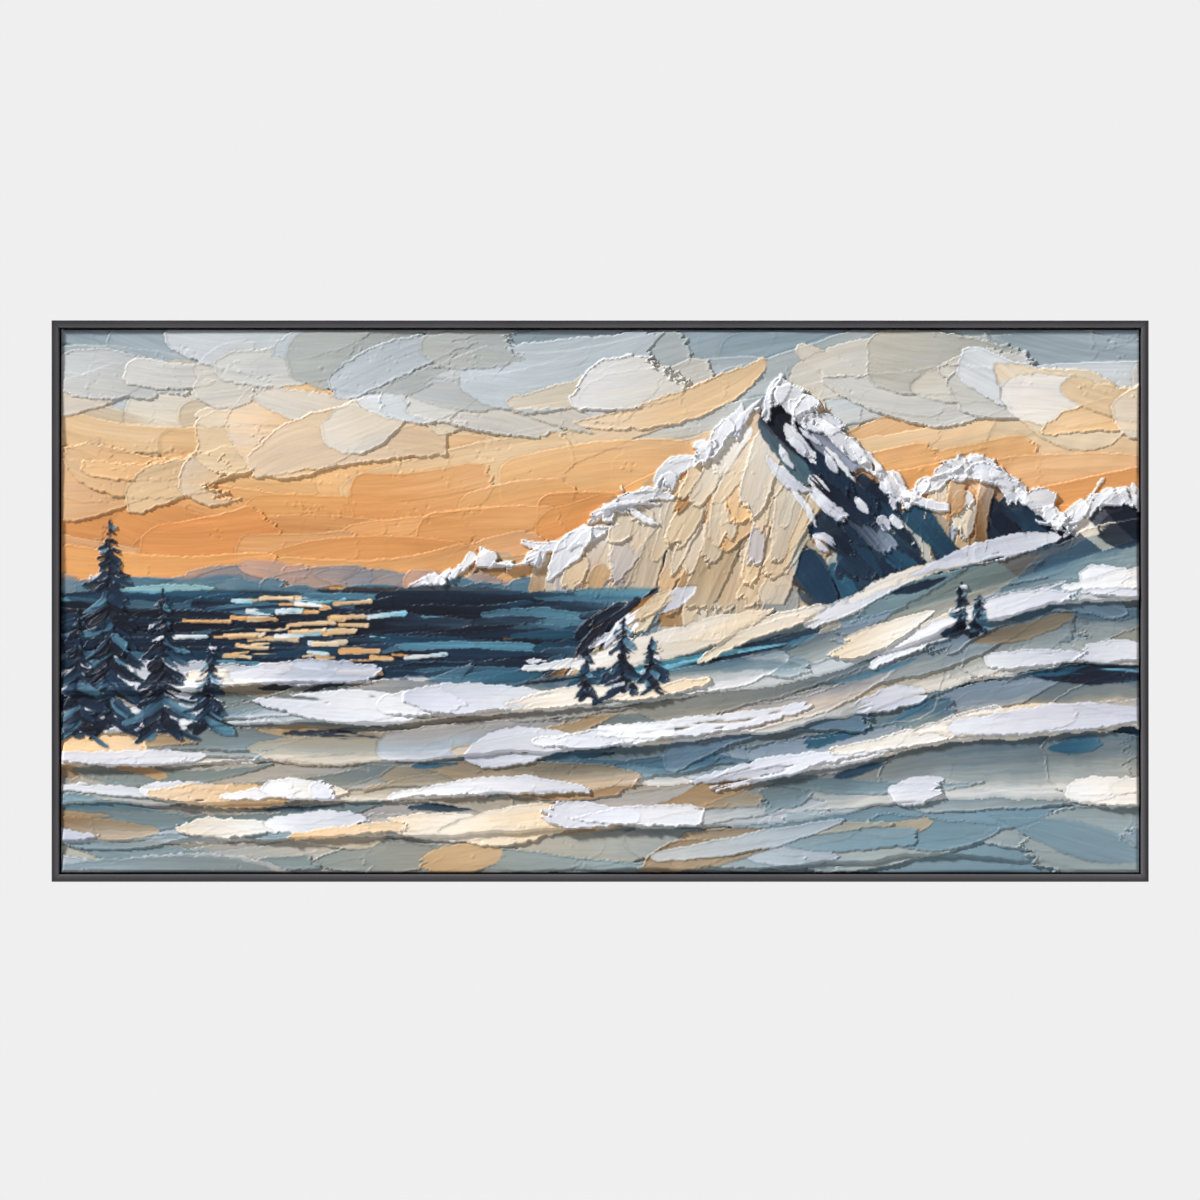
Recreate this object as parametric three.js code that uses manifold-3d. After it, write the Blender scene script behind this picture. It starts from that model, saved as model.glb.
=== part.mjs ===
// A wide palette-knife oil painting on stretched canvas, in a slim mitred floater frame.
// Millimetres, X right, Z up. The picture faces -Y and its back lies against the wall plane Y = 0.
// The origin is at the middle of the top rail's rear face, where the picture meets the wall.
import * as THREE from "three";
import { mergeVertices } from "three/addons/utils/BufferGeometryUtils.js";
import Module from "manifold-3d";

const wasm = await Module();
wasm.setup();

// Driving dimensions: the picture
const pictureWidth = 1200;
const pictureHeight = 604;
const canvasThickness = 0.8;
const pieceGap = 0.3;

// Driving dimensions: the frame rails
const railFace = 8.5;
const railOuterRound = 3.6;
const railInnerRound = 1.6;
const floatGap = 2;
const lipHeight = 7;
const flangeThickness = 5;
const flangeOverlap = 14;

// Driving dimensions: the stretcher
const barWidth = 38;
const barThickness = 20;
const barBeadWidth = 8;
const barBevelDrop = 3;
const bareBarEdge = 8;
const barEdgeRound = 2;
const braceWidth = 38;
const braceThickness = 14;
const tenonLength = 12;
const tenonWidth = 22;
const tenonThickness = 6;

// Driving dimensions: the fastenings
const screwLength = 16;
const screwShankRadius = 1.75;
const screwHeadRadius = 3.5;
const screwHeadHeight = 2.4;
const screwTipLength = 4;
const screwTipRadius = 0.5;
const screwSink = 0.4;
const screwSlotWidth = 0.9;
const screwSlotLength = 4.2;
const screwSlotDepth = 1.1;
const screwsOnLongRail = 4;
const screwsOnShortRail = 1;
const screwEndInset = 150;
const hangerSpacing = 600;
const hangerWidth = 46;
const hangerHeight = 11;
const hangerMetal = 1.1;
const hangerRise = 1.6;
const hangerFoot = 10;
const hangerSlope = 3;
const toothCount = 7;
const toothDepth = 2;
const nailLength = 13;
const nailShankRadius = 0.9;
const nailHeadRadius = 2.4;
const nailHeadHeight = 0.9;
const nailTipLength = 2.5;

// The paint's thickness over the ground
const thinPaint = 1.4;
const facePaint = 4.2;
const snowPaint = 3.2;
const lipPaint = 5.5;

// The picture's main forms, in shares of its width and height from its middle
const horizon = 0.02;
const shore = { right: 0.05, lean: 0.45 };
const slopes = { sheets: 5, left: -0.17, rise: 0.27, hollow: 2.2 };
const slopeWave = { height: 0.018, rate: 6.5, start: 4 };
const sheetSwell = { least: 0.5, rate: 7, shift: 2.4 };
const lipShare = 0.14;
const sheetThinning = 1.3;
const peaks = [
  { at: 0.165, top: 0.4, left: 1.55, right: 1.6 },
  { at: 0.345, top: 0.275, left: 1.3, right: 1.5 },
  { at: 0.48, top: 0.215, left: 1.2, right: 1.2 },
  { at: 0.02, top: 0.19, left: 1.25, right: 1.3 },
  { at: -0.105, top: 0.09, left: 0.9, right: 1.0 },
];
const crestNotches = [
  { height: 0.012, rate: 61, start: 0 },
  { height: 0.008, rate: 139, start: 1 },
];
const snowBand = 0.03;
const faceBuildUp = 0.1;
const spurLean = 0.1;
const spurWave = { height: 0.02, rate: 22, start: 0 };
const cloudBanks = [
  { from: [-0.52, 0.17], to: [0.1, 0.4], rise: 0.05, spread: 0.06, thick: 2.6 },
  { from: [0, 0.48], to: [0.52, 0.36], rise: 0.03, spread: 0.05, thick: 2.2 },
  { from: [-0.52, 0.38], to: [-0.18, 0.47], rise: 0.02, spread: 0.045, thick: 2 },
  { from: [0.28, 0.3], to: [0.54, 0.26], rise: 0.02, spread: 0.04, thick: 2 },
];
const cloudEnd = 0.08;
const puffs = { least: 0.4, rate: 40, shear: 3 };
const softEdge = 0.01;

// Fineness of round forms and of the paint's relief
const roundSides = 8;
const arcSteps = 5;
const reliefColumns = 66;
const reliefRowsAbove = 18;
const sheetRows = [0, lipShare, 0.55];

// Levels in front of the wall plane, worked out from the back
const turnoverRear = flangeThickness + pieceGap;
const barRear = turnoverRear + canvasThickness + pieceGap;
const barFront = barRear + barThickness;
const canvasInner = barFront + pieceGap;
const groundFace = canvasInner + canvasThickness;
const frameDepth = groundFace + lipHeight;

// Places across the rails, from the frame's outer edge inwards
const canvasInset = railFace + floatGap;
const barInset = canvasInset + canvasThickness + pieceGap;
const flangeReach = canvasInset + flangeOverlap;
const screwInset = canvasInset + flangeOverlap / 2;
const turnoverWidth = barInset + barWidth - bareBarEdge - canvasInset;
const outerWidth = pictureWidth + 2 * canvasInset;
const outerHeight = pictureHeight + 2 * canvasInset;

const finishes = {
  rail: { color: 0x4a494c, roughness: 0.42, metalness: 0 },
  pine: { color: 0xc9a878, roughness: 0.75, metalness: 0 },
  paint: { color: 0xcfc4b4, roughness: 0.5, metalness: 0 },
  steel: { color: 0xb9b6ac, roughness: 0.35, metalness: 0.9 },
};

// Turns a closed geometry into a solid that can be cut and joined.
function solidOf(geometry) {
  const bare = geometry.clone();
  bare.deleteAttribute("normal");
  bare.deleteAttribute("uv");
  const merged = mergeVertices(bare);
  const vertProperties = new Float32Array(merged.attributes.position.array);
  const triVerts = new Uint32Array(merged.index.array);
  return new wasm.Manifold(new wasm.Mesh({ numProp: 3, vertProperties, triVerts }));
}

function geometryOf(solid) {
  const mesh = solid.getMesh();
  const geometry = new THREE.BufferGeometry();
  geometry.setAttribute("position", new THREE.BufferAttribute(mesh.vertProperties, 3));
  geometry.setIndex(new THREE.BufferAttribute(mesh.triVerts, 1));
  return geometry;
}

function namedMesh(name, solid, finish) {
  const mesh = new THREE.Mesh(geometryOf(solid), new THREE.MeshStandardMaterial(finishes[finish]));
  mesh.name = name;
  return mesh;
}

// A box given by its two corners.
function block([x0, y0, z0], [x1, y1, z1]) {
  const geometry = new THREE.BoxGeometry(x1 - x0, y1 - y0, z1 - z0);
  geometry.translate((x0 + x1) / 2, (y0 + y1) / 2, (z0 + z1) / 2);
  return solidOf(geometry);
}

// A strip with mitred ends. Its section is drawn as (inwards, forwards) from the strip's outer rear
// edge, which lies along X. The ends slant at 45 degrees, and each stays half a gap from the mitre.
function mitredStrip(section, length) {
  const geometry = new THREE.ExtrudeGeometry(section, {
    depth: 1,
    steps: 1,
    bevelEnabled: false,
    curveSegments: arcSteps,
  });
  const mitreShift = (pieceGap / 2) * Math.SQRT2;
  const position = geometry.attributes.position;
  for (let i = 0; i < position.count; i++) {
    const inwards = position.getX(i);
    const forwards = position.getY(i);
    const halfHere = length / 2 - inwards - mitreShift;
    const along = (1 - 2 * position.getZ(i)) * halfHere;
    position.setXYZ(i, along, -forwards, -inwards);
  }
  return solidOf(geometry);
}

// The rail's section: a wall with a rounded front, and a flange behind the stretcher.
function railSection() {
  const shape = new THREE.Shape();
  shape.moveTo(0, 0);
  shape.lineTo(flangeReach, 0);
  shape.lineTo(flangeReach, flangeThickness);
  shape.lineTo(railFace, flangeThickness);
  shape.lineTo(railFace, frameDepth - railInnerRound);
  shape.absarc(railFace - railInnerRound, frameDepth - railInnerRound, railInnerRound, 0, Math.PI / 2);
  shape.absarc(railOuterRound, frameDepth - railOuterRound, railOuterRound, Math.PI / 2, Math.PI);
  return shape;
}

// The bar's section: only the bead at the outer edge touches the canvas.
function barSection() {
  const shape = new THREE.Shape();
  shape.moveTo(0, 0);
  shape.lineTo(barWidth, 0);
  shape.lineTo(barWidth, barThickness - barBevelDrop);
  shape.lineTo(barBeadWidth, barThickness);
  shape.absarc(barEdgeRound, barThickness - barEdgeRound, barEdgeRound, Math.PI / 2, Math.PI);
  return shape;
}

// A round piece that points along -Y, from (radius, depth) pairs.
function turned(profile) {
  const points = profile.map(([radius, depth]) => new THREE.Vector2(radius, -depth)).reverse();
  return solidOf(new THREE.LatheGeometry(points, roundSides));
}

// The hole for a fastening is its own outline grown by the gap, and open towards the wall.
function screwForm(grow, opening) {
  return turned([
    [0, -opening],
    [screwHeadRadius + grow, -opening],
    [screwHeadRadius + grow, 0],
    [screwShankRadius + grow, screwHeadHeight],
    [screwShankRadius + grow, screwLength - screwTipLength],
    [screwTipRadius + grow, screwLength + grow],
    [0, screwLength + grow],
  ]);
}

function screwSolid() {
  const halfLong = screwSlotLength / 2;
  const halfWide = screwSlotWidth / 2;
  const level = block([-halfLong, -screwSlotDepth, -halfWide], [halfLong, screwSlotDepth, halfWide]);
  const upright = block([-halfWide, -screwSlotDepth, -halfLong], [halfWide, screwSlotDepth, halfLong]);
  const plain = turned([
    [0, 0],
    [screwHeadRadius, 0],
    [screwShankRadius, screwHeadHeight],
    [screwShankRadius, screwLength - screwTipLength],
    [screwTipRadius, screwLength],
    [0, screwLength],
  ]);
  return plain.subtract(level).subtract(upright);
}

function nailHole() {
  return turned([
    [0, 0],
    [nailShankRadius + pieceGap, 0],
    [nailShankRadius + pieceGap, nailLength + pieceGap],
    [0, nailLength + pieceGap],
  ]);
}

function nailSolid() {
  return turned([
    [0, 0],
    [nailHeadRadius, 0],
    [nailHeadRadius, nailHeadHeight],
    [nailShankRadius, nailHeadHeight],
    [nailShankRadius, nailLength - nailTipLength],
    [0, nailLength],
  ]);
}

// Screw places along a rail: evenly spaced, or one in the middle.
function screwPlaces(length, count) {
  if (count === 1) return [0];
  const span = length - 2 * screwEndInset;
  return Array.from({ length: count }, (_, i) => -span / 2 + (i * span) / (count - 1));
}

function cutAt(solid, cutter, places) {
  let left = solid;
  for (const place of places) {
    left = left.subtract(solidOf(geometryOf(cutter).translate(...place)));
  }
  return left;
}

// A hanger: two feet on the bar, a raised strip between them, and a toothed lower edge.
function hangerSolid() {
  const half = hangerWidth / 2;
  const bend = half - hangerFoot;
  const shape = new THREE.Shape();
  shape.moveTo(-half, 0);
  shape.lineTo(-bend, 0);
  shape.lineTo(-bend + hangerSlope, hangerRise);
  shape.lineTo(bend - hangerSlope, hangerRise);
  shape.lineTo(bend, 0);
  shape.lineTo(half, 0);
  shape.lineTo(half, hangerMetal);
  shape.lineTo(bend, hangerMetal);
  shape.lineTo(bend - hangerSlope, hangerRise + hangerMetal);
  shape.lineTo(-bend + hangerSlope, hangerRise + hangerMetal);
  shape.lineTo(-bend, hangerMetal);
  shape.lineTo(-half, hangerMetal);
  const strip = new THREE.ExtrudeGeometry(shape, { depth: hangerHeight, bevelEnabled: false });
  strip.translate(0, 0, -hangerHeight / 2);

  const toothedLength = 2 * (bend - hangerSlope);
  const pitch = toothedLength / toothCount;
  const notch = new THREE.Shape();
  notch.moveTo(-pitch / 2, -toothDepth);
  notch.lineTo(pitch / 2, -toothDepth);
  notch.lineTo(0, toothDepth);
  const reach = 2 * (hangerRise + hangerMetal);
  const wedge = new THREE.ExtrudeGeometry(notch, { depth: 2 * reach, bevelEnabled: false });
  wedge.rotateX(Math.PI / 2);
  const places = [];
  for (let i = 0; i < toothCount; i++) {
    places.push([(i - (toothCount - 1) / 2) * pitch, reach, -hangerHeight / 2]);
  }
  return cutAt(solidOf(strip), solidOf(wedge), places);
}

function mix(a, b, share) {
  return a + (b - a) * share;
}

// 0 below the first value, 1 above the second, and a soft step between them.
function step(low, high, value) {
  const share = Math.min(1, Math.max(0, (value - low) / (high - low)));
  return share * share * (3 - 2 * share);
}

function wave({ height, rate, start }, x) {
  return height * Math.sin(rate * x + start);
}

// The mountains' outline: the highest of the peaks' falls, with small notches.
function skyline(u) {
  const tops = peaks.map(({ at, top, left, right }) => top - (u < at ? left * (at - u) : right * (u - at)));
  return crestNotches.reduce((height, notch) => height + wave(notch, u), Math.max(...tops));
}

// The lake's right-hand shore.
function shoreAt(w) {
  return shore.right - shore.lean * (horizon - w);
}

// The snow slopes' top edge: low at the left, and rising in a hollow curve to the right.
function slopeTop(u) {
  return slopes.left + slopes.rise * Math.max(0, u + 0.5) ** slopes.hollow + wave(slopeWave, u);
}

// Rolls of torn sheets along the cloud banks, over a thin sky.
function skyPaint(u, w) {
  const rolls = cloudBanks.map(({ from, to, rise, spread, thick }) => {
    const along = (u - from[0]) / (to[0] - from[0]);
    if (along < 0 || along > 1) return 0;
    const middle = mix(from[1], to[1], along) + rise * Math.sin(Math.PI * along);
    const away = (w - middle) / spread;
    const puff = mix(puffs.least, 1, 0.5 + 0.5 * Math.sin(along * puffs.rate + puffs.shear * away));
    const ends = step(0, cloudEnd, along) * step(0, cloudEnd, 1 - along);
    return thick * Math.exp(-away * away) * puff * ends;
  });
  return thinPaint + Math.max(...rolls);
}

// Each peak is a roof of two faces that meet in a spur, with thick snow along its outline.
function mountainPaint(u, w) {
  const roofs = peaks.map(({ at, top, left, right }) => {
    const depth = top - w;
    const leftEdge = at - depth / left;
    const rightEdge = at + depth / right;
    if (depth < 0 || u < leftEdge || u > rightEdge) return 0;
    const spur = at + spurLean * depth + wave(spurWave, depth + at);
    const reach = u < spur ? spur - leftEdge : rightEdge - spur;
    return facePaint * (1 - Math.abs(u - spur) / reach) * step(0, faceBuildUp, depth);
  });
  const snow = snowPaint * Math.exp(-(((skyline(u) - w) / snowBand) ** 2));
  return thinPaint + Math.max(0, ...roofs) + snow;
}

// Broad sheets that lap each other down the slope: each is thickest just above its lower edge.
function slopePaint(u, w) {
  const place = (slopes.sheets * (w + 0.5)) / (slopeTop(u) + 0.5);
  const sheet = Math.floor(place);
  const up = place - sheet;
  const swell = 0.5 + 0.5 * Math.sin(sheetSwell.rate * u + sheetSwell.shift * sheet);
  const thickness = up < lipShare ? up / lipShare : ((1 - up) / (1 - lipShare)) ** sheetThinning;
  return thinPaint + lipPaint * mix(sheetSwell.least, 1, swell) * thickness;
}

// How far the paint stands off the ground, at shares (u, w) of the picture's width and height from
// its middle.
function paintHeight(u, w) {
  if (w <= slopeTop(u)) return slopePaint(u, w);
  const pastShore = step(-softEdge, softEdge, u - shoreAt(w));
  const land = Math.max(step(-softEdge, softEdge, w - horizon), pastShore);
  const overCrest = step(-softEdge, softEdge, w - skyline(u));
  return mix(thinPaint, mix(mountainPaint(u, w), skyPaint(u, w), overCrest), land);
}

// The relief's rows up one column: a few to each slope sheet, close together at its lip, and evenly
// spaced from the slopes' top edge to the picture's.
function rowHeights(u) {
  const top = slopeTop(u);
  const heights = [];
  for (let sheet = 0; sheet < slopes.sheets; sheet++) {
    for (const up of sheetRows) heights.push(mix(-0.5, top, (sheet + up) / slopes.sheets));
  }
  for (let i = 0; i <= reliefRowsAbove; i++) heights.push(mix(top, 0.5, i / reliefRowsAbove));
  return heights;
}

// The picture's outside as one closed block: the relief in front, four flat sides and a flat back.
// Each point of the relief's rim has its own point straight behind it.
function paintedBlock() {
  const positions = [];
  const triangles = [];
  const lastRow = slopes.sheets * sheetRows.length + reliefRowsAbove;
  const rows = lastRow + 1;
  const columns = reliefColumns + 1;
  const vertex = (column, row) => column * rows + row;
  for (let column = 0; column < columns; column++) {
    const u = column / reliefColumns - 0.5;
    for (const w of rowHeights(u)) {
      positions.push(u * pictureWidth, -groundFace - paintHeight(u, w), w * pictureHeight);
    }
  }
  for (let column = 0; column < reliefColumns; column++) {
    for (let row = 0; row < lastRow; row++) {
      const a = vertex(column, row);
      const b = vertex(column + 1, row);
      const c = vertex(column + 1, row + 1);
      const d = vertex(column, row + 1);
      triangles.push(a, b, c, a, c, d);
    }
  }
  const rim = [
    ...Array.from({ length: reliefColumns }, (_, i) => vertex(i, 0)),
    ...Array.from({ length: lastRow }, (_, i) => vertex(reliefColumns, i)),
    ...Array.from({ length: reliefColumns }, (_, i) => vertex(reliefColumns - i, lastRow)),
    ...Array.from({ length: lastRow }, (_, i) => vertex(0, lastRow - i)),
  ];
  const back = rows * columns;
  const backMiddle = back + rim.length;
  rim.forEach((here, i) => {
    const ahead = (i + 1) % rim.length;
    positions.push(positions[3 * here], -turnoverRear, positions[3 * here + 2]);
    triangles.push(back + i, rim[ahead], here, back + i, back + ahead, rim[ahead]);
    triangles.push(back + i, backMiddle, back + ahead);
  });
  positions.push(0, -turnoverRear, 0);
  const geometry = new THREE.BufferGeometry();
  geometry.setAttribute("position", new THREE.Float32BufferAttribute(positions, 3));
  geometry.setIndex(triangles);
  return solidOf(geometry);
}

// The canvas is one skin: front, four sides, and a border turned over onto the back of the bars.
function canvasSolid(holes) {
  const halfWidth = pictureWidth / 2;
  const halfHeight = pictureHeight / 2;
  const skin = (inset, front, rear) => {
    const x = halfWidth - inset;
    const z = halfHeight - inset;
    return block([-x, -front, -z], [x, -rear, z]);
  };
  const room = skin(canvasThickness, canvasInner, turnoverRear + canvasThickness);
  const opening = skin(turnoverWidth, canvasInner, 0);
  const wrapped = paintedBlock().subtract(room).subtract(opening);
  return holes.reduce((left, hole) => left.subtract(hole), wrapped);
}

// One side of the picture, drawn as the top side: its rail, its bar and the screws through both.
function sideGroup(name, length, screws, isLong) {
  const side = new THREE.Group();
  const places = screwPlaces(length, screws);
  const hole = screwForm(pieceGap, 1);
  const railHoles = places.map((x) => [x, -screwSink, -screwInset]);
  const rail = cutAt(mitredStrip(railSection(), length), hole, railHoles);
  side.add(namedMesh("frame_rail_" + name, rail, "rail"));

  const barHoles = places.map((x) => [x, barRear - screwSink, barInset - screwInset]);
  let bar = cutAt(mitredStrip(barSection(), length - 2 * barInset), hole, barHoles);
  if (isLong) {
    const slotHalf = tenonWidth / 2 + pieceGap;
    const middle = braceThickness / 2;
    const slotRise = tenonThickness / 2 + pieceGap;
    const slot = block(
      [-slotHalf, -middle - slotRise, -barWidth - 1],
      [slotHalf, -middle + slotRise, -barWidth + tenonLength + pieceGap],
    );
    bar = bar.subtract(slot);
    bar = cutAt(bar, nailHole(), name === "top" ? nailPlacesOnBar() : []);
  }
  const barMesh = namedMesh("stretcher_bar_" + name, bar, "pine");
  barMesh.position.set(0, -barRear, -barInset);
  side.add(barMesh);

  places.forEach((x, i) => {
    const screw = namedMesh("frame_screw_" + name + "_" + (i + 1), screwSolid(), "steel");
    screw.position.set(x, -screwSink, -screwInset);
    side.add(screw);
  });
  return side;
}

// The hangers sit on the part of the top bar that the flange leaves free.
const hangerDrop = (flangeReach + barInset + barWidth) / 2;
const hangerFootLevel = turnoverRear - pieceGap;
const nailLevel = hangerFootLevel - hangerMetal - pieceGap - nailHeadHeight;
const nailOffset = (hangerWidth - hangerFoot) / 2;
const hangerSides = [
  ["left", -hangerSpacing / 2],
  ["right", hangerSpacing / 2],
];

// Nail places in the top side's own axes.
function nailPlaces() {
  return hangerSides.flatMap(([side, x]) => [
    [side + "_1", x - nailOffset],
    [side + "_2", x + nailOffset],
  ]);
}

function nailPlacesOnBar() {
  return nailPlaces().map(([, x]) => [x, barRear - nailLevel, barInset - hangerDrop]);
}

function hangersOn(side) {
  for (const [name, x] of hangerSides) {
    const plain = hangerSolid();
    const drilled = cutAt(plain, nailHole(), [
      [-nailOffset, hangerMetal * 3, 0],
      [nailOffset, hangerMetal * 3, 0],
    ]);
    const hanger = namedMesh("hanger_" + name, drilled, "steel");
    hanger.position.set(x, -hangerFootLevel, -hangerDrop);
    side.add(hanger);
  }
  for (const [name, x] of nailPlaces()) {
    const nail = namedMesh("hanger_nail_" + name, nailSolid(), "steel");
    nail.position.set(x, -nailLevel, -hangerDrop);
    side.add(nail);
  }
}

function braceSolid() {
  const halfSpan = outerHeight / 2 - barInset - barWidth - pieceGap;
  const halfWidth = braceWidth / 2;
  const halfTenon = tenonWidth / 2;
  const reach = halfSpan + pieceGap + tenonLength;
  const middle = braceThickness / 2;
  const body = block([-halfWidth, -braceThickness, -halfSpan], [halfWidth, 0, halfSpan]);
  const tenon = block(
    [-halfTenon, -middle - tenonThickness / 2, -reach],
    [halfTenon, -middle + tenonThickness / 2, reach],
  );
  return body.add(tenon);
}

// The holes that the screws and nails make through the canvas turned over the bars.
function canvasHoles(picture) {
  const holes = [];
  picture.updateMatrixWorld(true);
  picture.traverse((piece) => {
    if (!piece.name.startsWith("frame_screw") && !piece.name.startsWith("hanger_nail")) return;
    const form = piece.name.startsWith("frame_screw") ? screwForm(pieceGap, 1) : nailHole();
    holes.push(solidOf(geometryOf(form).applyMatrix4(piece.matrixWorld)));
  });
  return holes;
}

const picture = new THREE.Group();
const sides = [
  { name: "top", length: outerWidth, turn: 0, away: [0, outerHeight / 2], screws: screwsOnLongRail },
  { name: "right", length: outerHeight, turn: 1, away: [outerWidth / 2, 0], screws: screwsOnShortRail },
  { name: "bottom", length: outerWidth, turn: 2, away: [0, -outerHeight / 2], screws: screwsOnLongRail },
  { name: "left", length: outerHeight, turn: 3, away: [-outerWidth / 2, 0], screws: screwsOnShortRail },
];
for (const { name, length, turn, away, screws } of sides) {
  const side = sideGroup(name, length, screws, turn % 2 === 0);
  side.rotation.y = (turn * Math.PI) / 2;
  side.position.set(away[0], 0, away[1]);
  if (name === "top") hangersOn(side);
  picture.add(side);
}

const brace = namedMesh("stretcher_brace", braceSolid(), "pine");
brace.position.y = -barRear;
picture.add(brace);
picture.add(namedMesh("painted_canvas", canvasSolid(canvasHoles(picture)), "paint"));

// The whole picture hangs below the origin, which is at the middle of the top rail's rear face.
const painting = new THREE.Group();
picture.position.z = flangeReach / 2 - outerHeight / 2;
painting.add(picture);

export default painting;
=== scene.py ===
"""The looks of a wide palette-knife oil painting in a slim charcoal floater frame.

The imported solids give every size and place. The paint is laid stroke by stroke on a height field
over the solid canvas, and becomes closed blocks of mesh that stand on the canvas. Places on the
picture are in millimetres from its middle, or, as (u, w), in shares of its width and height from its
middle. The meshes are in metres.
"""

import math

import bpy
import numpy as np
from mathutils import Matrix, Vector
from mathutils.bvhtree import BVHTree


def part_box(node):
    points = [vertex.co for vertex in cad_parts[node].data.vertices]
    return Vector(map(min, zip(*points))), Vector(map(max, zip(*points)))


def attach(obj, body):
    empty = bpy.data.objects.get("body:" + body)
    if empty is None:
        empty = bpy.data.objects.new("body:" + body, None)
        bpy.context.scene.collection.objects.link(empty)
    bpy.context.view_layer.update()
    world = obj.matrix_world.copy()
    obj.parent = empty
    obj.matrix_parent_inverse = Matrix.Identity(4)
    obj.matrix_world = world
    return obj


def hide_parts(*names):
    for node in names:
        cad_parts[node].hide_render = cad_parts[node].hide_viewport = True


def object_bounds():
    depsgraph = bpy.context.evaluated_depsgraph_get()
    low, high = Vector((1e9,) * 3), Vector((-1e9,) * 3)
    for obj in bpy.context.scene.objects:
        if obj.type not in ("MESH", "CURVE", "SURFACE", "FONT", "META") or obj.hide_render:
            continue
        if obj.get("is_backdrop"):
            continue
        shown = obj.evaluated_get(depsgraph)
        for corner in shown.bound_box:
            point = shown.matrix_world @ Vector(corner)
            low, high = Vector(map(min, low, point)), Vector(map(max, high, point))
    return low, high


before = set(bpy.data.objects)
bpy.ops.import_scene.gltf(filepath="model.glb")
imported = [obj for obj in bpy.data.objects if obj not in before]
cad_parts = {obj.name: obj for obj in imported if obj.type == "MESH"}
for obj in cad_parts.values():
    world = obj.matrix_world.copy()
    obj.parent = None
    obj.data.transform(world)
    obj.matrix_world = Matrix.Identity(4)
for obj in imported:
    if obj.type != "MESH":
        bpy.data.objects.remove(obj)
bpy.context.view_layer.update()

MM = 0.001

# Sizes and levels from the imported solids
canvas_low, canvas_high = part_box("painted_canvas")
bar_low, bar_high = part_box("stretcher_bar_top")
WIDTH = (canvas_high.x - canvas_low.x) / MM
HEIGHT = (canvas_high.z - canvas_low.z) / MM
MIDDLE_Z = (canvas_low.z + canvas_high.z) / 2
PIECE_GAP = 0.3
CANVAS_THICKNESS = 0.8
GROUND = -bar_low.y / MM + PIECE_GAP + CANVAS_THICKNESS
BAR_REAR = -bar_high.y / MM
rail_low, rail_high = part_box("frame_rail_top")
FRAME_WIDTH = (rail_high.x - rail_low.x) / MM + PIECE_GAP * math.sqrt(2)
FRAME_HEIGHT = FRAME_WIDTH - WIDTH + HEIGHT
FRAME_DEPTH = -rail_low.y / MM
FLANGE_REACH = (rail_high.z - rail_low.z) / MM

# The picture's grid
COLUMNS = 930
ROWS = 468
CELL = WIDTH / (COLUMNS - 1)

# The picture's main forms, in shares of its width and height from its middle
HORIZON = 0.02
SUN = -0.27
SHORE_RIGHT = 0.05
SHORE_LEAN = 0.45
SHORE_WAVE = (0.012, 62.0, 1.0)
SHEETS = 5
SHEET_SWAY = 0.42
SHEET_TEAR = 0.022
SLOPE_LEFT = -0.17
SLOPE_RISE = 0.27
SLOPE_HOLLOW = 2.2
SLOPE_WAVE = (0.018, 6.5, 4.0)
CREST_NOTCHES = ((0.012, 61.0, 0.0), (0.008, 139.0, 1.0))
SPUR_LEAN = 0.1
SPUR_WAVE = (0.02, 22.0, 0.0)
PEAKS = (
    # at, top, left fall, right fall
    (0.165, 0.400, 1.55, 1.60),
    (0.345, 0.275, 1.30, 1.50),
    (0.480, 0.215, 1.20, 1.20),
    (0.020, 0.190, 1.25, 1.30),
    (-0.105, 0.090, 0.90, 1.00),
)
CLOUD_BANKS = (
    # from, to, rise, strokes, spread, thickness in mm
    ((-0.52, 0.20), (0.08, 0.38), 0.05, 24, 0.05, 2.2),
    ((0.22, 0.40), (0.54, 0.30), 0.03, 16, 0.05, 2.0),
    ((-0.50, 0.40), (-0.10, 0.47), 0.02, 10, 0.03, 1.7),
)


def rgb(red, green, blue):
    return np.array([red, green, blue], np.float32) / 255


# The pigments
SKY_GREY = rgb(142, 160, 170)
PALE_GREY = rgb(206, 212, 216)
CREAM = rgb(234, 212, 180)
PEACH = rgb(240, 192, 136)
ORANGE = rgb(234, 168, 102)
DEEP_ORANGE = rgb(200, 122, 66)
OCHRE = rgb(168, 116, 64)
WHITE = rgb(243, 244, 247)
LILAC = rgb(194, 197, 211)
WARM_WHITE = rgb(222, 211, 194)
TEAL = rgb(36, 86, 112)
STEEL = rgb(84, 128, 150)
NAVY = rgb(8, 13, 30)
DEEP = rgb(18, 42, 66)
CYAN = rgb(124, 198, 222)
MIST = rgb(128, 148, 158)
SAND = rgb(180, 156, 124)
MAUVE = rgb(192, 148, 140)


# Numbers and noise

def stream(seed):
    """A function that draws repeatable numbers, from low to high."""
    state = seed

    def draw(low=0, high=1):
        nonlocal state
        state = state * 48271 % 2147483647
        return low + (high - low) * (state / 2147483647)

    return draw


def picked(share, *choices):
    """The first (limit, choice) whose limit is above the share."""
    return next(choice for limit, choice in choices if share < limit)


def mixed(a, b, share):
    return a * (1 - share) + b * share


def smooth(low, high, x):
    """0 below low, 1 above high, and a soft step between them."""
    t = np.clip((x - low) / (high - low), 0, 1)
    return t * t * (3 - 2 * t)


def ramp(stops, place):
    """The colour at a place, or at an array of places, along (place, colour) stops."""
    places = [stop[0] for stop in stops]
    colours = np.array([stop[1] for stop in stops])
    return np.stack([np.interp(place, places, colours[:, i]) for i in range(3)], axis=-1)


TILE = 512


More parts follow.
